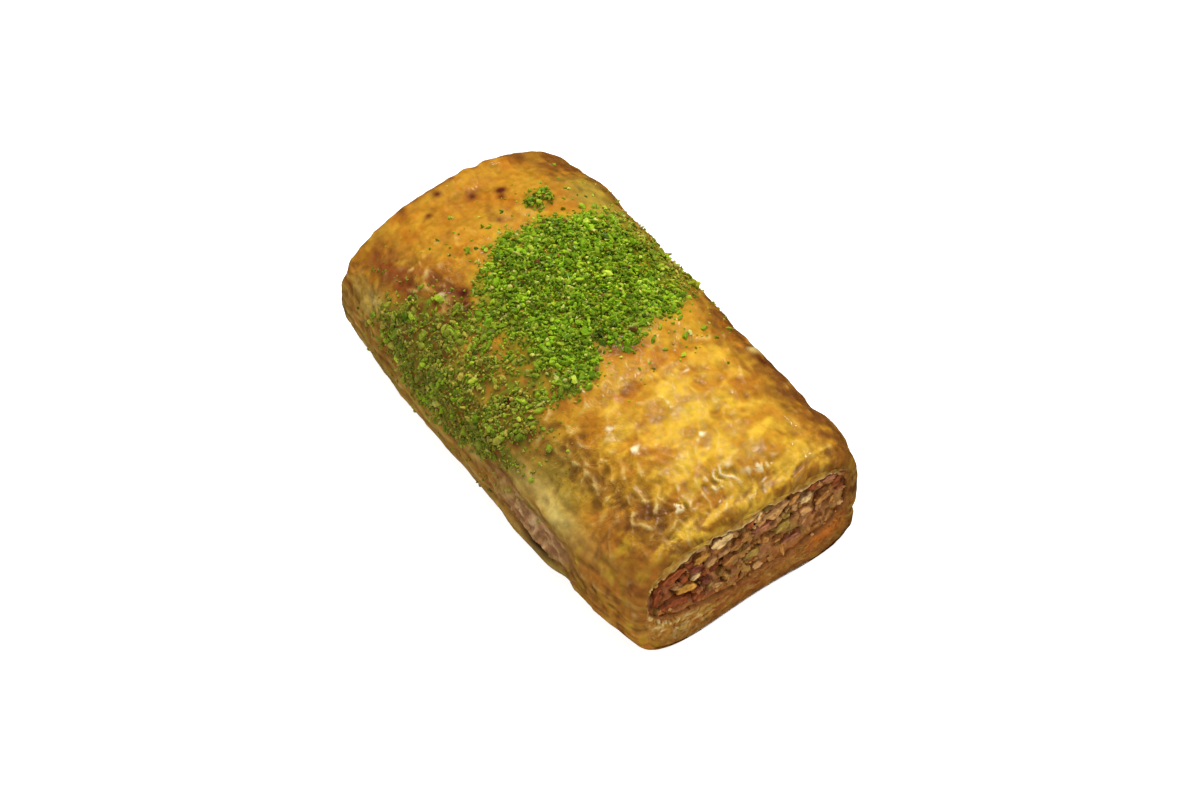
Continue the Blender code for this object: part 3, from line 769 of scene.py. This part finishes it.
def edge_tones(place, sheet, gap, share, towards):
    """Colours of the crust's cut: golden and mottled at the left, redder and browner towards the right."""
    tone = Grain(33)
    x, z = place[:, 0] * -towards, place[:, 2]
    blotch = tone.rough(3, x / 1.6, z / 1.3, 2 + towards)
    right = step((x + 6.5) / 5)
    frayed = np.clip(2.4 * tone.rough(3, x / 0.8, z / 0.8, 14) - 0.15, 0, 0.85)
    lip = step((z - 12.2) / 1.6) * step((x + 12.5) / 3)
    crest = bump_at(share, 0.84, 0.10) * (0.75 + 1.2 * tone.rough(2, x / 0.7, 3, 9))
    return painted(EDGE_GOLD, x.shape, (
        (EDGE_PALE, 0.2 + 1.1 * tone.rough(3, sheet * 1.9, x / 1.3, 7)),
        (EDGE_RED, 0.15 + 0.9 * blotch),
        (EDGE_BROWN, right * (0.55 + 0.6 * blotch) * step((z - 0.8) / 1.6)),
        (EDGE_ORANGE, right * step((2.2 - z) / 1.6) * (0.7 + 0.8 * blotch)),
        (EDGE_FLAP, (0.55 - 0.25 * towards) * spot(x, z, 10.5, 4.2, 3, 1.6)),
        (BROWN, 0.7 * step((x - 11.5) / 2) * step((z - 4.5) / 3) * (0.9 + 0.6 * blotch)),
        (CREST, frayed * step((-4 - x) / 4)),
        (EDGE_LIP, lip * (0.6 + 0.9 * tone.rough(2, x / 0.9, z, 4))),
        # Painted shade in the gaps between sheets, with random dark blotches
        (UMBER, np.clip(gap * 0.55 + 0.25 * (blotch < -0.45), 0, 0.7)),
        # Painted highlight on the lip's crest and painted shade along its lower line
        (CREST, lip * crest),
        (CRACK_SHADE, lip * step((share - 0.90) / 0.08)),
        (PASTE, 0.8 * step((share - 0.72) / 0.28) * step((9 - z) / 3))))


def build_sheet_edges(skin, towards):
    """The cut end of the crust: torn edges of its filo sheets, stuck together in places."""
    around = np.linspace(0, GIRTH, END_COLUMNS, endpoint=False)
    outer = skin_point_rows([towards * LENGTH / 2], signed(around))[0][0]
    x, z = cavity_middle(towards * LENGTH / 2)
    ragged, waver, joined = Grain(31), Grain(32), Grain(34)
    inner = cut_rim(np.arctan2(outer[:, 2] - z, outer[:, 0] - x), towards)
    wall = np.linalg.norm((outer - inner)[:, [0, 2]], axis=1)
    rim_tones = skin.end_tones(towards, around)
    rings, colours = [], []
    for k in range(END_RINGS + 1):
        share = k / END_RINGS
        place = outer + (inner - outer) * share
        x, z = place[:, 0], place[:, 2]
        phase = share * wall / SHEET_THICKNESS + 1.6 * waver.rough(3, x / 3.6, z / 2.2, towards * 3)
        sheet = np.floor(phase)
        within = phase - sheet
        edge = 0.24 * ragged.rough(3, x / 1.5, sheet * 3.7, z / 1.5 + towards)
        opened = step(1.6 * joined.rough(2, x / 2.2, z / 2.2, 3) + 0.2)
        gap = (bump_at(within, 0, 0.14) + bump_at(within, 1, 0.14)) * opened
        low = step((5 - z) / 5)
        out = step(min(share, 1.15 - share) * 9) * (edge - 0.32 * gap + 0.05 - 0.2 * low) - 0.1 * low
        rings.append(place + toward_end(out, towards))
        taken = np.clip((1 - share * (2.2 - 1.1 * step((z - 11.5) / 2))), 0, 1)[:, None]
        colours.append(edge_tones(place, sheet, gap, share, towards) * (1 - taken) + rim_tones * taken)
    # The tail that runs back into the roll, painted umber as shade
    rings.append(rings[-1] + np.array((0, -towards * TAIL, 0)))
    colours.append(np.broadcast_to(linear(UMBER), outer.shape))
    if towards > 0:
        rings, colours = rings[::-1], colours[::-1]
    faces = quads(len(rings), END_COLUMNS, wrap=True)
    piece = make_mesh("sheet_edges_" + SIDES[towards], rings, faces, colours, edge_material)


def icosphere(level):
    """Corners and faces of a ball of radius 1."""
    golden = (1 + 5**0.5) / 2
    corners = [np.roll((x, y, 0), turn) for turn in range(3) for y in (golden, -golden) for x in (-1, 1)]
    points = [corner / np.linalg.norm(corner) for corner in corners]
    faces = [(0, 11, 5), (0, 5, 1), (0, 1, 7), (0, 7, 10), (0, 10, 11), (1, 5, 9), (5, 11, 4),
             (11, 10, 2), (10, 7, 6), (7, 1, 8), (3, 9, 4), (3, 4, 2), (3, 2, 6), (3, 6, 8), (3, 8, 9),
             (4, 9, 5), (2, 4, 11), (6, 2, 10), (8, 6, 7), (9, 8, 1)]
    for _ in range(level):
        middles, finer = {}, []
        for a, b, c in faces:
            halves = []
            for first, second in ((a, b), (b, c), (c, a)):
                key = (min(first, second), max(first, second))
                if key not in middles:
                    middle = points[first] + points[second]
                    middles[key] = len(points)
                    points.append(middle / np.linalg.norm(middle))
                halves.append(middles[key])
            ab, bc, ca = halves
            finer += [(a, ab, ca), (b, bc, ab), (c, ca, bc), (ab, bc, ca)]
        faces = finer
    return np.array(points), np.array(faces)


def rough_shapes(count, level, draw, rough, cuts, longest):
    """Several broken bits of about unit diameter: balls pushed in and out and cut by random planes."""
    ball, faces = icosphere(level)
    grain = Grain(41)
    shapes = []
    for _ in range(count):
        shift = draw.uniform(0, 50, 3)
        size = 1 + rough * grain.rough(2, *(ball * 1.1 + shift).T)
        points = ball * size[:, None] * draw.uniform((1.0, 0.65, 0.42), (longest, 0.95, 0.7))
        for _ in range(cuts):
            side = draw.normal(size=3)
            side /= np.linalg.norm(side)
            over = points @ side - draw.uniform(0.3, 0.7)
            points = points - np.maximum(over, 0)[:, None] * side
        shapes.append(points / 2)
    return shapes, faces


def laid_turns(draw, outward, tilt):
    """Turns that lay a bit's short side roughly along these outward directions, as matrices."""
    short = outward + tilt * draw.normal(size=outward.shape)
    short /= np.linalg.norm(short, axis=1, keepdims=True)
    longer = np.cross(short, draw.normal(size=outward.shape))
    longer /= np.linalg.norm(longer, axis=1, keepdims=True)
    return np.stack((longer, np.cross(short, longer), short), -1)


def scattered(name, places, sizes, tints, shapes, faces, draw, spins, shade_spread, material):
    """One piece from many bits: each has its place, size, tint, turn and one of the shapes."""
    picks = draw.integers(len(shapes), size=len(places))
    per = len(shapes[0])
    points = np.empty((len(places), per, 3))
    for k, (place, size, pick) in enumerate(zip(places, sizes, picks)):
        points[k] = shapes[pick] @ spins[k].T * size + place
    all_faces = (faces[None] + np.arange(len(places))[:, None, None] * per).reshape(-1, faces.shape[1])
    colours = np.repeat(tints[:, None], per, axis=1)
    colours = colours * (1 + shade_spread * draw.uniform(-1, 1, (len(places), per, 1)))
    return make_mesh(name, points, all_faces, colours, material, smooth=False)


def crumb_cover(around, y):
    """How thickly the pistachio lies here, from 0 to 1."""
    depth = in_patch(around, y)
    core = step(depth * 3.2 + 0.35)
    thin = 1 - 0.38 * step((around - 5) / 5)
    clumps = 1 + step((around - 4) / 5) * 1.1 * Grain(57).rough(2, around / 2.4, y / 2.4, 0.5)
    edge = 1 - 0.6 * step((-around - 7) / 5)
    ragged = np.clip(0.3 + 1.5 * Grain(58).rough(2, around / 1.3, y / 1.3, 0.5), 0.02, 0.8)
    small = 1 - np.clip(1.4 * spot(around, y, *STRAY_CLUSTER), 0, 1) * (1 - ragged)
    stray = 0.03 * step(depth + 1.0)
    bare = 1 - 0.85 * spot(around, y, 11.6, 15.0, 2.6, 2.6)
    return core * thin * edge * small * bare * np.clip(clumps, 0.06, 1.6) + stray


def crumb_places(count, draw):
    """Places for crumbs on the crust, by how thickly they lie there."""
    found = np.empty((0, 2))
    while len(found) < count:
        trial = draw.uniform((-19, -14), (27, 27), (count, 2))
        keep = draw.random(count) < crumb_cover(trial[:, 0], trial[:, 1])
        found = np.concatenate((found, trial[keep]))
    return found[:count]


def crumb_tints(spots, draw):
    """Bright greens in the middle, more olive and straw on the left side and over the right edge."""
    picks = draw.choice(len(CRUMB_GREENS), size=len(spots), p=CRUMB_SHARES)
    tints = linear(np.array(CRUMB_GREENS)[picks])
    tints = tints * draw.uniform(0.78, 1.3, (len(spots), 1))
    tints = tints * (1 + 0.45 * Grain(59).rough(2, spots[:, 0] / 1.7, spots[:, 1] / 1.7, 0.5))[:, None]
    away = np.maximum(step((spots[:, 0] - 5) / 8), step((-spots[:, 0] - 10) / 4))[:, None]
    straw = draw.random((len(spots), 1)) < 0.35
    dull = np.where(straw, linear(STRAW), linear(DULL_GREEN))
    amount = away * draw.uniform(0, 0.9, (len(spots), 1))
    return tints * (1 - amount) + dull * amount


def build_crumbs(skin):
    """The ground pistachio: chopped flakes piled in the patches, with ever finer ones between them."""
    draw = np.random.default_rng(51)
    for name, count, level, low, high, pile in (("pistachio_chopped", 700, 1, 0.65, 1.2, 0.3),
                                                ("pistachio_crumbs", 2450, 1, 0.42, 0.75, 0.5),
                                                ("pistachio_dust", 9800, 0, 0.22, 0.5, 0.55)):
        shapes, faces = rough_shapes(20, level, draw, 0.45, 3, longest=1.7)
        spots = crumb_places(count, draw)
        sizes = low + (high - low) * draw.random(count) ** 1.8
        ground, outward = skin.at(spots[:, 0], spots[:, 1])
        depth = step(in_patch(spots[:, 0], spots[:, 1]) * 2.5) * (1 - 0.7 * step((spots[:, 0] - 4) / 6))
        lift = sizes * 0.08 + pile * depth * draw.random(count) ** 1.4
        tints = crumb_tints(spots, draw)
        tints *= 1 - 0.8 * np.clip(1.6 * spot(spots[:, 0], spots[:, 1], *DARK_CRUMBS), 0, 1)[:, None]
        piece = scattered(name, ground + outward * lift[:, None], sizes, tints, shapes, faces, draw,
                          laid_turns(draw, outward, 0.55), shade_spread=0.12, material=crumb_material)


def crack_depth(x, z):
    """How close this place of the front cut is to the dark crack, from 0 to 1."""
    nearest = np.full(np.shape(x), 99.0)
    for (x1, z1), (x2, z2) in zip(CRACK, CRACK[1:]):
        run = (x2 - x1) ** 2 + (z2 - z1) ** 2
        share = np.clip(((x - x1) * (x2 - x1) + (z - z1) * (z2 - z1)) / run, 0, 1)
        nearest = np.minimum(nearest, np.hypot(x - x1 - share * (x2 - x1), z - z1 - share * (z2 - z1)))
    wobble = 1 + 0.8 * Grain(63).rough(2, x / 1.2, z / 1.2, 0.5)
    return np.exp(-((nearest / (CRACK_WIDTH * np.clip(wobble, 0.3, 2))) ** 2))


def paste_tones(x, z, rise, crack):
    """Colours of the nut paste: darkest red brown at the left, olive and rose in the middle, tan above."""
    tone = Grain(62)
    greens = 1.1 * tone.rough(2, x / 2.5, z / 2.5, 8) + 0.5 * spot(x, z, 0.2, 8.6, 2, 1.4)
    return painted(PASTE, x.shape, (
        (PASTE_LIGHT, 0.35 + tone.rough(3, x / 1.4, z / 1.4, 1)),
        (NUT_TONES["rose"], 0.25 + 0.9 * tone.rough(2, x / 2.8, z / 2.2, 5)),
        (NUT_TONES["green"], greens + 0.6 * spot(x, z, 4.3, 10.3, 2.2, 1.4)),
        (NUT_TONES["skin"], spot(x, z, -9.3, 9.8, 3.8, 3) * (0.8 + 0.6 * tone.at(x, z, 2))),
        (PASTE_LOW, 0.7 * step((6.6 - z) / 2.2)),
        # Painted shade: darker in the paste's hollows, and along the crack, under the lip and round the
        # large nut pieces, which build_paste passes in as crack
        (CRACK_SHADE, np.clip(-0.05 - rise * 1.8, 0, 0.7) + 0.95 * crack)))


# Large nut pieces on a cut: each is (x, z, length, share across, turn, tone)
CHUNKS = ((-9.9, 7.3, 4.6, 0.34, -6, "skin"), (-12.2, 9.4, 2.6, 0.55, 80, "skin"),
          (-10.4, 11.8, 3.6, 0.45, 16, "skin"), (-7.2, 11.1, 2.2, 0.6, -35, "purple"),
          (-8.6, 8.9, 2.9, 0.6, -24, "amber"), (-7.3, 9.9, 1.4, 0.7, 10, "pale"),
          (-5.9, 8.2, 1.8, 0.6, -50, "purple"), (-6.5, 12.4, 2.6, 0.6, 40, "amber"),
          (-3.5, 13.3, 3.2, 0.55, 16, "pale"), (0, 13.4, 1.5, 0.7, 70, "skin"),
          (1.1, 13.8, 2, 0.45, 75, "pale"), (3.3, 13, 4, 0.62, 8, "tan"),
          (1.5, 11.5, 3, 0.36, -6, "rose"), (5.9, 13.2, 2, 0.6, 30, "meat"),
          (7.5, 12.1, 1.8, 0.8, 0, "pale"), (8.6, 13.4, 1.7, 0.6, 20, "skin"),
          (10.7, 13.1, 2.2, 0.5, -10, "rose"), (4.4, 9.8, 2.6, 0.55, 10, "green"),
          (10, 10.6, 2.4, 0.6, 40, "meat"), (0.1, 8.2, 2.4, 0.6, 5, "green"),
          (-2.6, 9.4, 2.2, 0.6, 30, "meat"), (5.8, 6.9, 2.4, 0.5, 0, "rose"),
          (-4.4, 6.4, 1.8, 0.5, -20, "tan"), (11.9, 12, 1.7, 0.6, 60, "skin"))


def syrupy(x, z):
    """How soaked and smooth the paste is here: most at the lower right of the cut."""
    return spot(x, z, 4.5, 7.2, 6.0, 2.4)


def chunk_rims(x, z):
    """How close this place of the cut is to the rim of a large nut piece, from 0 to 1."""
    most = np.zeros(np.shape(x))
    for at_x, at_z, length, narrow, turn, _ in CHUNKS:
        cos, sin = math.cos(math.radians(turn)), math.sin(math.radians(turn))
        along, across = (x - at_x) * cos + (z - at_z) * sin, (z - at_z) * cos - (x - at_x) * sin
        apart = np.hypot(along / (length / 2), across / (narrow * length / 2))
        most = np.maximum(most, bump_at(apart, 1.1, 0.22))
    return most


def chip_rows(draw):
    """Smaller nut pieces for the room between the large ones, as rows like theirs."""
    names = ("skin", "tan", "meat", "rose", "green")
    rows = []
    while len(rows) < CHIPS:
        x, z = draw.uniform(-13, 13), draw.uniform(5.6, 14.6)
        length = draw.uniform(1, 2.1)
        near = any(math.hypot(x - at_x, z - at_z) < 0.36 * (length + other)
                   for at_x, at_z, other, *_ in (*CHUNKS, *rows))
        outside = (x / 13.4) ** 4 + ((z - 9.4) / 4.8) ** 4 > 1
        if near or outside or crack_depth(x, z) > 0.1:
            continue
        left = math.exp(-((x + 9) / 4.2) ** 2)
        if draw.random() > max(left, step((z - 9.5) / 3)) + 0.15:
            continue
        shares = np.array((0.06 + 1.1 * left, 0.40, 0.50, 0.14, 0.08))
        tone = names[draw.choice(len(names), p=shares / shares.sum())]
        rows.append((x, z, length, draw.uniform(0.5, 0.9), draw.uniform(-90, 90), tone))
    return rows


def build_chunks(name, rows, level, towards, draw):
    """Nut pieces of a cut end: lobed, furrowed and cut off flat, with a thin dark husk round the cut."""
    y = towards * (LENGTH / 2 - PASTE_RECESS)
    ball, faces = icosphere(level)
    grain = Grain(43)
    corners, tints = [], []
    for x, z, length, narrow, turn, tone in rows:
        if towards > 0:
            x, z = x * BACK_CROWDING, BACK_NUT_MIDDLE + (z - BACK_NUT_MIDDLE) * BACK_CROWDING
        shift = draw.uniform(0, 50, 3)
        lobes = grain.rough(3, *(ball * 1.5 + shift).T)
        furrows = 1 - 2 * np.abs(grain.at(*(ball * 2.2 + shift).T))
        depth = 0.5 * (1 + narrow) * length / 2
        form = ball * (1 + 0.34 * lobes)[:, None] * (1, 1, narrow) * length / 2
        spin = math.radians(turn)
        across = form[:, 0] * math.cos(spin) - form[:, 2] * math.sin(spin)
        rise = form[:, 0] * math.sin(spin) + form[:, 2] * math.cos(spin)
        tilts = draw.uniform(-CHUNK_TILT, CHUNK_TILT, 2)
        rough = grain.rough(2, *(stacked(across, rise, 0) / 0.7 + shift).T)
        proud = min(CHUNK_PROUD, 0.75 * depth)
        stands = ball[:, 1] * -depth * (1 + 0.2 * lobes) - depth + proud
        cut = CHUNK_CUT + tilts[0] * across + tilts[1] * rise + 0.06 * rough
        flat = np.minimum(stands, cut) - 0.09 * np.clip(furrows - 0.55, 0, 1)
        centre = sheared(x * -towards, y, z)
        corners.append(centre + stacked(across * -towards, towards * flat, rise))
        husk = np.clip(1 - (stands - cut) / 0.14, 0, 1) + 1.6 * np.clip(furrows - 0.72, 0, 1)
        # Painted light and shade: bulging lobes lighter and sunken ones darker, with random variation
        shade = np.clip(1.05 + 0.5 * rough + 0.3 * lobes, 0.55, 1.6)[:, None] * draw.uniform(0.9, 1.15)
        tints.append(blend(linear(NUT_TONES[tone]) * shade, HUSK, 0.6 * husk))
    all_faces = (faces[None] + np.arange(len(corners))[:, None, None] * len(ball)).reshape(-1, 3)
    piece = make_mesh(name, corners, all_faces, tints, nut_material)


def nut_tint(x, z, draw):
    """Colour of a nut bit at this place: dark skins at the left, tan meat towards the upper right."""
    left = math.exp(-((x + 9) / 4.2) ** 2 - ((z - 9.6) / 3.2) ** 2)
    right = math.exp(-((x - 6.5) / 6.5) ** 2 - ((z - 13) / 2.2) ** 2)
    names = ("skin", "purple", "tan", "pale", "amber", "meat", "green")
    weights = np.array((0.10 + 1.6 * left, 0.2 + 0.9 * left, 0.25 + 0.9 * right,
                        0.04 + 0.25 * right, 0.04, 0.9, 0.12))
    tone = linear(NUT_TONES[names[draw.choice(len(names), p=weights / weights.sum())]])
    return 0.55 * tone + 0.45 * linear(PASTE_LIGHT)


def build_paste(rim, middle, towards):
    """The nut paste of a cut end, lumpy and sunk round its large nut pieces, with a wall at its rim."""
    lumpy = Grain(61)
    rings, tints = [], []
    for share in np.concatenate(([1, 1], np.linspace(0.985, 0.02, PASTE_RINGS))):
        back = 0 if rings else 3
        place = middle + (rim - middle) * share
        x, z = place[:, 0] * -towards, place[:, 2]
        crack, gaps = crack_depth(x, z), chunk_rims(x, z)
        rise = 0.45 * lumpy.rough(4, place[:, 0] / 2.2, z / 2.2, towards * 2)
        rise = rise * (1 - 0.55 * syrupy(x, z))
        sunk = 0.35 * step(1 - (1 - share) * 12)
        out = (rise - 0.25 * gaps) * step((1 - share) * 8) - sunk - 0.6 * crack - back
        rings.append(place + toward_end(out, towards))
        # Painted shade under the lip's edge, in the crack and round the large nut pieces
        under_lip = step(1 - (1 - share) * 6 + 0.9 * lumpy.at(x / 1.4, 3)) * step((z - 9.5) / 3)
        tints.append(paste_tones(x, z, rise, np.maximum.reduce((crack, under_lip, 0.6 * gaps))))
    rings, tints = np.array(rings), np.array(tints)
    if towards < 0:
        rings, tints = rings[:, ::-1], tints[:, ::-1]
    faces = quads(len(rings), len(rim), wrap=True)
    paste = make_mesh("nut_paste_" + SIDES[towards], rings, faces, tints, nut_material)
    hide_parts("filling")


def build_bits(rim, middle, towards, draw):
    """Chopped bits of many sizes, pressed into the paste of a cut end."""
    shapes, faces = rough_shapes(14, 1, draw, 0.5, 4, longest=1.5)
    places, sizes, colours = [], [], []
    while len(places) < NUT_BITS:
        size = 0.4 + 0.95 * draw.random() ** 1.8
        at = draw.integers(len(rim))
        share = math.sqrt(draw.random()) * (1 - 0.6 * size / 9)
        place = middle + (rim[at] - middle) * share
        x, z = place[0] * -towards, place[2]
        soaked = draw.random() < 0.75 * syrupy(x, z)
        if soaked or crack_depth(x, z) > 0.3 or (share > 0.86 and z > 10):
            continue
        places.append(place)
        sizes.append(size)
        colours.append(nut_tint(x, z, draw) * draw.uniform(0.8, 1.15))
    places, sizes = np.array(places), np.array(sizes)
    places[:, 1] += towards * (draw.uniform(-0.1, 0.3, len(places)) - 0.1 * sizes)
    outward = np.broadcast_to((0.0, float(towards), 0.0), places.shape)
    bits = scattered("nut_bits_" + SIDES[towards], places, sizes, np.array(colours), shapes, faces, draw,
                     laid_turns(draw, outward, 0.6), shade_spread=0.1, material=nut_material)


def build_filling(towards):
    """One cut end of the filling: nut paste, with nut pieces and bits pressed into it."""
    rim = cut_rim(np.linspace(0, 2 * math.pi, PASTE_COLUMNS, endpoint=False), towards)
    rim[:, 1] -= towards * PASTE_RECESS
    middle = rim.mean(0)
    rim = middle + (rim - middle) * 1.03
    build_paste(rim, middle, towards)
    draw = np.random.default_rng(71 if towards < 0 else 72)
    build_chunks("nut_chunks_" + SIDES[towards], CHUNKS, 3, towards, draw)
    build_chunks("nut_chips_" + SIDES[towards], chip_rows(draw), 2, towards, draw)
    build_bits(rim, middle, towards, draw)


def build_stage():
    """A plain pale floor and soft light from all round."""
    mesh = bpy.data.meshes.new("floor")
    reach = 3
    corners = [(-reach, -reach, 0), (reach, -reach, 0), (reach, reach, 0), (-reach, reach, 0)]
    mesh.from_pydata(corners, [], [(0, 1, 2, 3)])
    floor = placed("floor", mesh)
    material = bpy.data.materials.new("pale_floor")
    Graph(material).fill(material.node_tree.nodes["Principled BSDF"], {
        "Base Color": (0.6, 0.6, 0.6, 1), "Roughness": 0.9, "Specular IOR Level": 0,
        "Emission Color": (1, 1, 1, 1), "Emission Strength": 0.8})
    mesh.materials.append(material)
    floor.visible_diffuse = False
    floor.visible_glossy = False
    world = bpy.data.worlds.new("studio")
    bpy.context.scene.world = world
    Graph(world).fill(world.node_tree.nodes["Background"], {"Color": (1, 1, 1, 1), "Strength": 0.72})
    world.cycles_visibility.glossy = False


def faced(thing, direction):
    """Turn a lamp or camera so that its back points this way."""
    thing.rotation_mode = "QUATERNION"
    thing.rotation_quaternion = direction.to_track_quat("Z", "Y")


def add_lamp(name, direction, distance, size, power):
    """A square soft light that faces the piece from this direction."""
    light = bpy.data.lights.new(name, "AREA")
    light.energy = power
    light.size = size
    lamp = placed(name, light)
    away = Vector(direction).normalized()
    lamp.location = away * distance + Vector((0, 0, LAMP_AIM))
    faced(lamp, away)
    return lamp


# Lights and camera, in metres
LAMP_AIM = 0.009
CAMERA_AZIMUTH, CAMERA_ELEVATION = math.radians(-35.11), math.radians(49.79)
CAMERA_DISTANCE, CAMERA_LENS = 0.4416, 119.6
CAMERA_AIM, AIM_RIGHT, AIM_DOWN = 0.00825, 0.000853, 0.00184


def build_camera():
    """The photograph's camera: to the left of the front, well above."""
    data = bpy.data.cameras.new("camera")
    camera = placed("camera", data)
    data.lens = CAMERA_LENS
    data.clip_start = 0.01
    a, e = CAMERA_AZIMUTH, CAMERA_ELEVATION
    back = Vector((math.sin(a) * math.cos(e), -math.cos(a) * math.cos(e), math.sin(e)))
    right = Vector((math.cos(a), math.sin(a), 0))
    up = back.cross(right)
    aim = Vector((0, 0, CAMERA_AIM))
    camera.location = aim + back * CAMERA_DISTANCE + right * AIM_RIGHT - up * AIM_DOWN
    faced(camera, back)
    bpy.context.scene.camera = camera


skin_material = node_material("glazed_filo", roughness=0.42, coat=0.55, bump_scale=0.55,
                              bump_depth=0.09, mottle_scale=0.9, mottle=0.17, soft=0.12, crinkle=0.28)
edge_material = node_material("filo_sheet_edges", roughness=0.45, coat=0.35, bump_scale=0.3,
                              bump_depth=0.06, mottle_scale=0.5, mottle=0.2, soft=0.1)
crumb_material = node_material("ground_pistachio", roughness=0.45, coat=0.25, bump_scale=0.15,
                               bump_depth=0.03, mottle_scale=0.35, mottle=0.2, soft=0.3)
nut_material = node_material("chopped_walnut", roughness=0.4, coat=0.4, bump_scale=0.3,
                             bump_depth=0.08, mottle_scale=0.5, mottle=0.3, soft=0.05)

skin = Skin()
build_skin(skin)
for towards in (-1, 1):
    build_sheet_edges(skin, towards)
    build_filling(towards)
build_crumbs(skin)
build_stage()
key = add_lamp("key", (0.42, 0.62, 0.80), 0.50, 0.20, 2.0)
key.visible_glossy = False
add_lamp("glint_front", (0.37, 0.07, 0.93), 0.45, 0.03, 0.35)
add_lamp("glint_top", (0.42, 0.50, 0.80), 0.45, 0.03, 0.12)
build_camera()
bpy.context.scene.view_settings.view_transform = "Standard"
